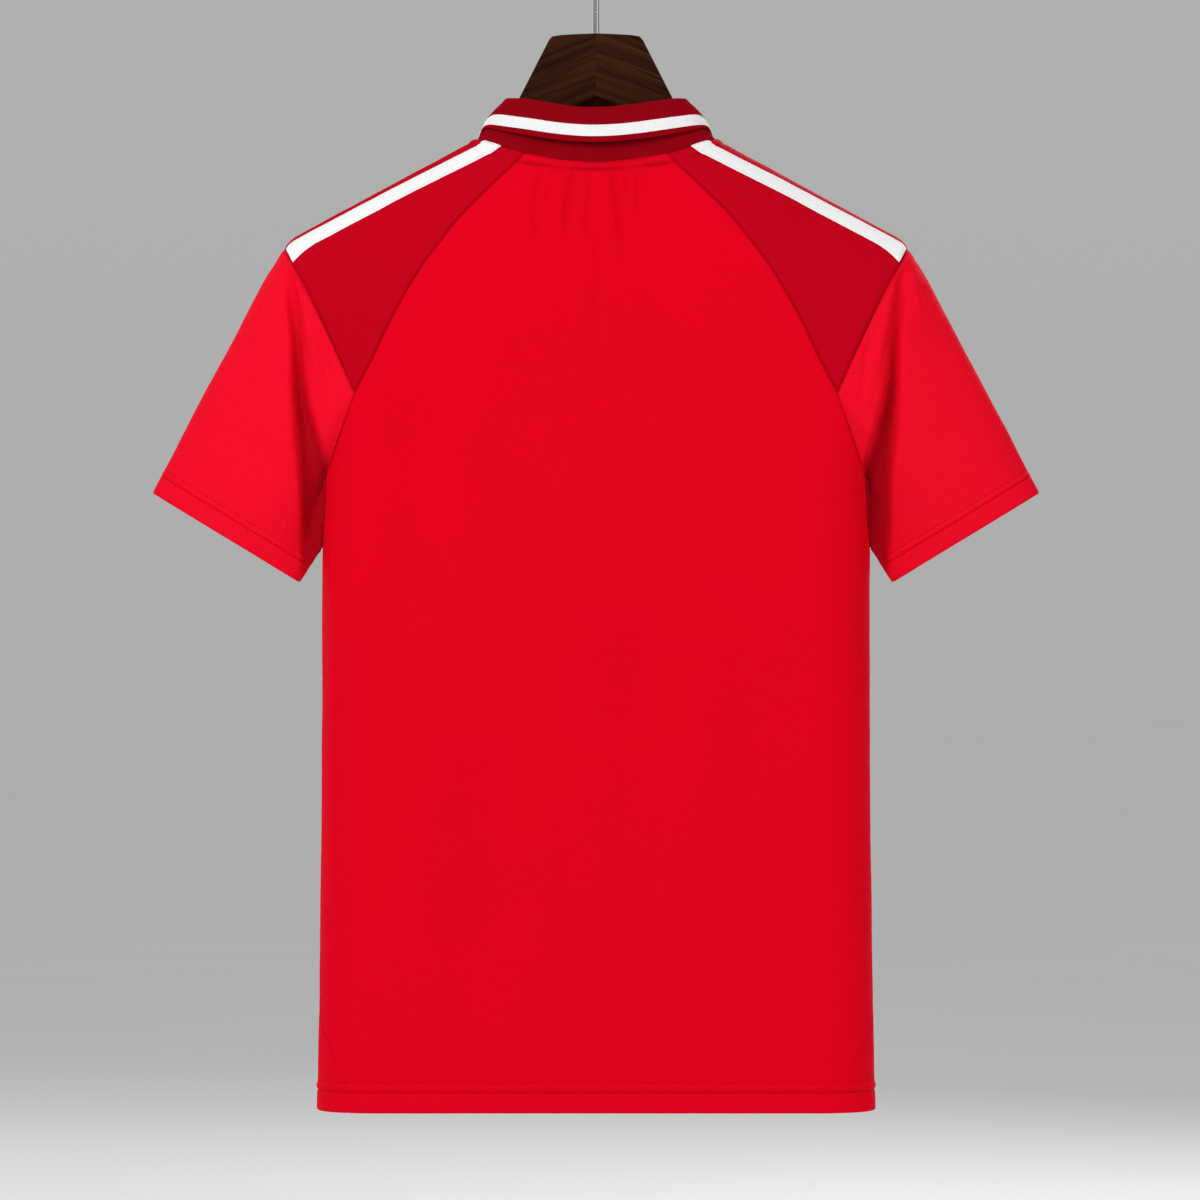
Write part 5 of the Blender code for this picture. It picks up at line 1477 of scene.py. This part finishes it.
# Distance out, top (zero where it follows the shoulder), underside, half depth, crown radius.
HANGER = ((0.0, -0.0700, -0.1180, 0.0072, 0.0022), (0.0130, -0.0704, -0.1229, 0.0072, 0.0022),
          (0.0260, -0.0712, -0.1302, 0.0072, 0.0022), (0.0325, -0.0722, -0.1338, 0.0072, 0.0022),
          (0.0350, -0.0750, -0.1352, 0.0072, 0.0022), (0.0570, -0.1180, -0.1475, 0.0074, 0.0030),
          (0.0660, -0.1365, -0.1526, 0.0078, 0.0050), (0.0740, -0.1480, -0.1600, 0.0082, 0.0058),
          (0.0885, -0.1545, -0.1690, 0.0090, 0.0070), (0.1080, -0.1616, -0.1790, 0.0094, 0.0088),
          (0.1300, 0.0, -0.1896, 0.0098, 0.0096), (0.1800, 0.0, -0.2170, 0.0102, 0.0100),
          (0.2150, 0.0, -0.2362, 0.0096, 0.0092), (0.2225, -0.2272, -0.2372, 0.0060, 0.0040))
FOOT_RADIUS, CORNER_POINTS = 0.0035, 9
BEVEL_ANGLE, BEVEL_WIDTH = math.radians(38.0), 0.0007
NOTCH_HALF, NOTCH_BACK = 0.0260, -0.1302   # the notch slants down towards the front
GRAIN_ANGLE, BOARD_SHIFT = RIDGE_ANGLE * 0.75, 0.031   # the shift makes the boards differ
# Growth rings, streaks and pores: scale, detail and stretch of their noise.
GRAIN = ((30.0, 5.0, (0.28, 2.6, 7.5)), (60.0, 4.0, (0.22, 8.0, 14.0)),
         (160.0, 2.0, (0.14, 7.0, 9.0)))


def walnut():
    material, tree, shader = new_material("walnut", Roughness=0.60, Specular_IOR_Level=0.03)
    x, y, z = split(tree, object_place(tree))
    out = maths(tree, "ABSOLUTE", x)
    cosine, sine = math.cos(GRAIN_ANGLE), math.sin(GRAIN_ANGLE)
    along = maths(tree, "SUBTRACT", maths(tree, "MULTIPLY", out, cosine),
                  maths(tree, "MULTIPLY", z, sine))
    height = maths(tree, "ADD", maths(tree, "MULTIPLY", out, sine),
                   maths(tree, "MULTIPLY", z, cosine))
    depth = maths(tree, "ADD", y, maths(tree, "MULTIPLY", maths(tree, "SIGN", x), BOARD_SHIFT))
    board = add_node(tree, "ShaderNodeCombineXYZ", enumerate((along, depth, height)))
    rings, streaks, pores = (
        noise_value(tree, board.outputs["Vector"], scale, detail, stretch)
        for scale, detail, stretch in GRAIN)
    tone = weighted(tree, -0.62, (rings, 1.15), (streaks, 0.75),
                    (maths(tree, "GREATER_THAN", pores, 0.63), -0.22))
    paint(tree, shader, tone, ((0.0110, 0.0026, 0.0008), (0.078, 0.0235, 0.0080)),
          maths(tree, "ADD", streaks, pores), 0.00008)
    return material


def soften_edges(piece):
    """Bevel the sharp edges, but not those of the joint in the middle."""
    shape = bmesh.new()
    shape.from_mesh(piece.data)
    sharp = [edge for edge in shape.edges
             if edge.calc_face_angle(0.0) > BEVEL_ANGLE
             and min(abs(corner.co.x) for corner in edge.verts) > 0.0001]
    bmesh.ops.bevel(shape, geom=sharp, offset=BEVEL_WIDTH, segments=3, profile=0.5,
                    affect="EDGES", clamp_overlap=True)
    shape.to_mesh(piece.data)
    shape.free()
    piece.data.shade_smooth()
    piece.data.set_sharp_from_angle(angle=math.radians(35.0))


def hanger_half(name, hand, material):
    quarters = np.arange(4)[:, None] * QUARTER_TURN
    angle = (quarters + np.linspace(0.0, QUARTER_TURN, CORNER_POINTS)).ravel()
    side = np.repeat([1.0, -1.0, -1.0, 1.0], CORNER_POINTS)
    rings = []
    for out, top, under, depth, crown in HANGER:
        top = top or ridge_level(out) - (CLOTH + HANGER_CLEARANCE) / math.cos(RIDGE_ANGLE)
        far_under = min(under, NOTCH_BACK) if out < NOTCH_HALF else under
        radius = np.repeat([crown, crown, FOOT_RADIUS, FOOT_RADIUS], CORNER_POINTS)
        centre = np.repeat([top - crown, top - crown, far_under + FOOT_RADIUS,
                            under + FOOT_RADIUS], CORNER_POINTS)
        rings.append(np.stack([0.0 * angle + hand * out,
                               side * (depth - radius) + radius * np.cos(angle),
                               centre + radius * np.sin(angle)], axis=-1))
    count = len(angle)
    faces = grid_quads(len(rings), count, True).tolist()
    faces += [list(range(count)), list(range((len(rings) - 1) * count, len(rings) * count))]
    piece = finish_mesh(name, np.concatenate(rings), faces, material, sharp_angle=30.0)
    soften_edges(piece)
    print(name, len(piece.data.polygons), "faces")
    return piece


WALNUT = walnut()
wood = {side: hanger_half("walnut_half_" + side, hand, WALNUT) for side, hand in HANDS.items()}

# %% [markdown]
# ## The wire hook
#
# The hook is one chromed wire: a straight stem out of the wood, a turn aside and an arc over
# the rail, so that the load hangs straight below the rail. Its path is three simple pieces
# joined end to end, and a round bar is swept along it, drawn in to a round tip. Fine
# scratches along the wire break up the chrome's mirror.

# %% The hook
WIRE_RADIUS, HOOK_RADIUS, HOOK_NECK_RADIUS = 0.0024, 0.0204, 0.0080
HOOK_END_TURN = math.radians(195.0)
STEM_POINTS, BEND_POINTS, EYE_POINTS, WIRE_SIDES = 24, 20, 110, 32
STEM_SUNK = 0.0005                # how far the wire starts inside the wood


def hook_route():
    """Middle of the wire, from the wood to the tip."""
    eye_level, reach = WIRE_RADIUS - HOOK_RADIUS, HOOK_RADIUS + HOOK_NECK_RADIUS
    neck_level = eye_level - math.sqrt(reach ** 2 - HOOK_NECK_RADIUS ** 2)
    lean = math.asin(HOOK_NECK_RADIUS / reach)
    stem = np.linspace(HANGER[0][1] - STEM_SUNK, neck_level, STEM_POINTS)[:-1]
    turn = np.linspace(math.pi, QUARTER_TURN + lean, BEND_POINTS)[:-1]
    arc = np.linspace(lean - QUARTER_TURN, HOOK_END_TURN, EYE_POINTS)
    x = np.concatenate([0.0 * stem, HOOK_NECK_RADIUS * (1.0 + np.cos(turn)),
                        HOOK_RADIUS * np.cos(arc)])
    z = np.concatenate([stem, neck_level + HOOK_NECK_RADIUS * np.sin(turn),
                        eye_level + HOOK_RADIUS * np.sin(arc)])
    return np.stack([x, 0.0 * x, z], axis=-1)


CHROME, tree, shader = new_material("chrome_wire", Metallic=1.0, Roughness=0.10)
scratches = noise_value(tree, object_place(tree), 900.0, 3.0, (1.0, 1.0, 0.12))
paint(tree, shader, scratches, ((0.34, 0.33, 0.325), (0.46, 0.45, 0.44)), scratches, 0.00001)
route = hook_route()
walked = walk_along(route)
to_tip = np.clip((walked[-1] - walked) / WIRE_RADIUS, 0.0, 1.0)
drawn_in = np.sqrt(np.clip(rounding(to_tip, 1.0), 0.01, 1.0))
hook = bars("hook_wire", [route], WIRE_RADIUS * drawn_in, (0.0, 1.0, 0.0), WIRE_SIDES, CHROME)
print("wire", round(float(walked[-1]) * 1000), "mm long")

# %% [markdown]
# ## The floor
#
# The floor is one large sheet, far below the hem, in a matt pale grey with a hint of mottling.

# %% The floor
FLOOR_LEVEL, FLOOR_HALF = -1.12, 40.0
FLOOR_GREYS = ((0.795, 0.795, 0.795), (0.835, 0.835, 0.835))

mesh = bpy.data.meshes.new("studio_floor")
mesh.from_pydata([(x * FLOOR_HALF, y * FLOOR_HALF, FLOOR_LEVEL)
                  for x, y in ((-1, -1), (1, -1), (1, 1), (-1, 1))], [], [(0, 1, 2, 3)])
material, tree, shader = new_material("studio_floor", Roughness=0.9, Specular_IOR_Level=0.1)
paint(tree, shader, noise_value(tree, object_place(tree), 1.5, 3.0), FLOOR_GREYS)
mesh.materials.append(material)
add_object("studio_floor", mesh)
print("floor at", FLOOR_LEVEL, "m")

# %% [markdown]
# ## Say what each piece stands for
#
# Every piece rides on the one body and hides the CAD node that it stands for, if it has one.
# The area of one side of each piece of cloth is printed.

# %% Riding on the body and hiding the CAD nodes
def stands_for(piece, slot, *nodes):
    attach(piece, "root")
    if nodes:
        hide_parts(*nodes)


for piece, slot, node in ((back, "red_jersey", "back_panel"), (front, "red_jersey", "front_panel"),
                          (collar, "rib_knit", "collar"), (band, "red_jersey", "placket_over"),
                          (under, "red_jersey", "placket_under"), (hook, "chrome_wire", "hook")):
    stands_for(piece, slot, node)
for piece in (hem_stitches, front_stitches, neck_stitches, band_stitches, buttonholes):
    stands_for(piece, "red_jersey")
for side in HANDS:
    stands_for(shoulders[side], "dark_jersey", "shoulder_panel_" + side)
    stands_for(tapes[side][0], "white_tape", "shoulder_stripe_" + side)
    stands_for(sleeves[side][0], "red_jersey", "sleeve_" + side)
    stands_for(wood[side], "walnut", "hanger_" + side)
    stands_for(cuff_stitches[side], "red_jersey")
    stands_for(tape_stitches[side], "white_tape")
for level_name, (face, crossed) in buttons.items():
    stands_for(face, "button_red", "button_" + level_name)
    stands_for(crossed, "red_jersey")

for piece in (back, front, collar, band, under, *shoulders.values(), tapes["left"][0],
              sleeves["left"][0]):
    area = sum(face.area for face in piece.data.polygons) / 2.0
    print(piece.name, "surface of one side", round(area, 4), "square metres")
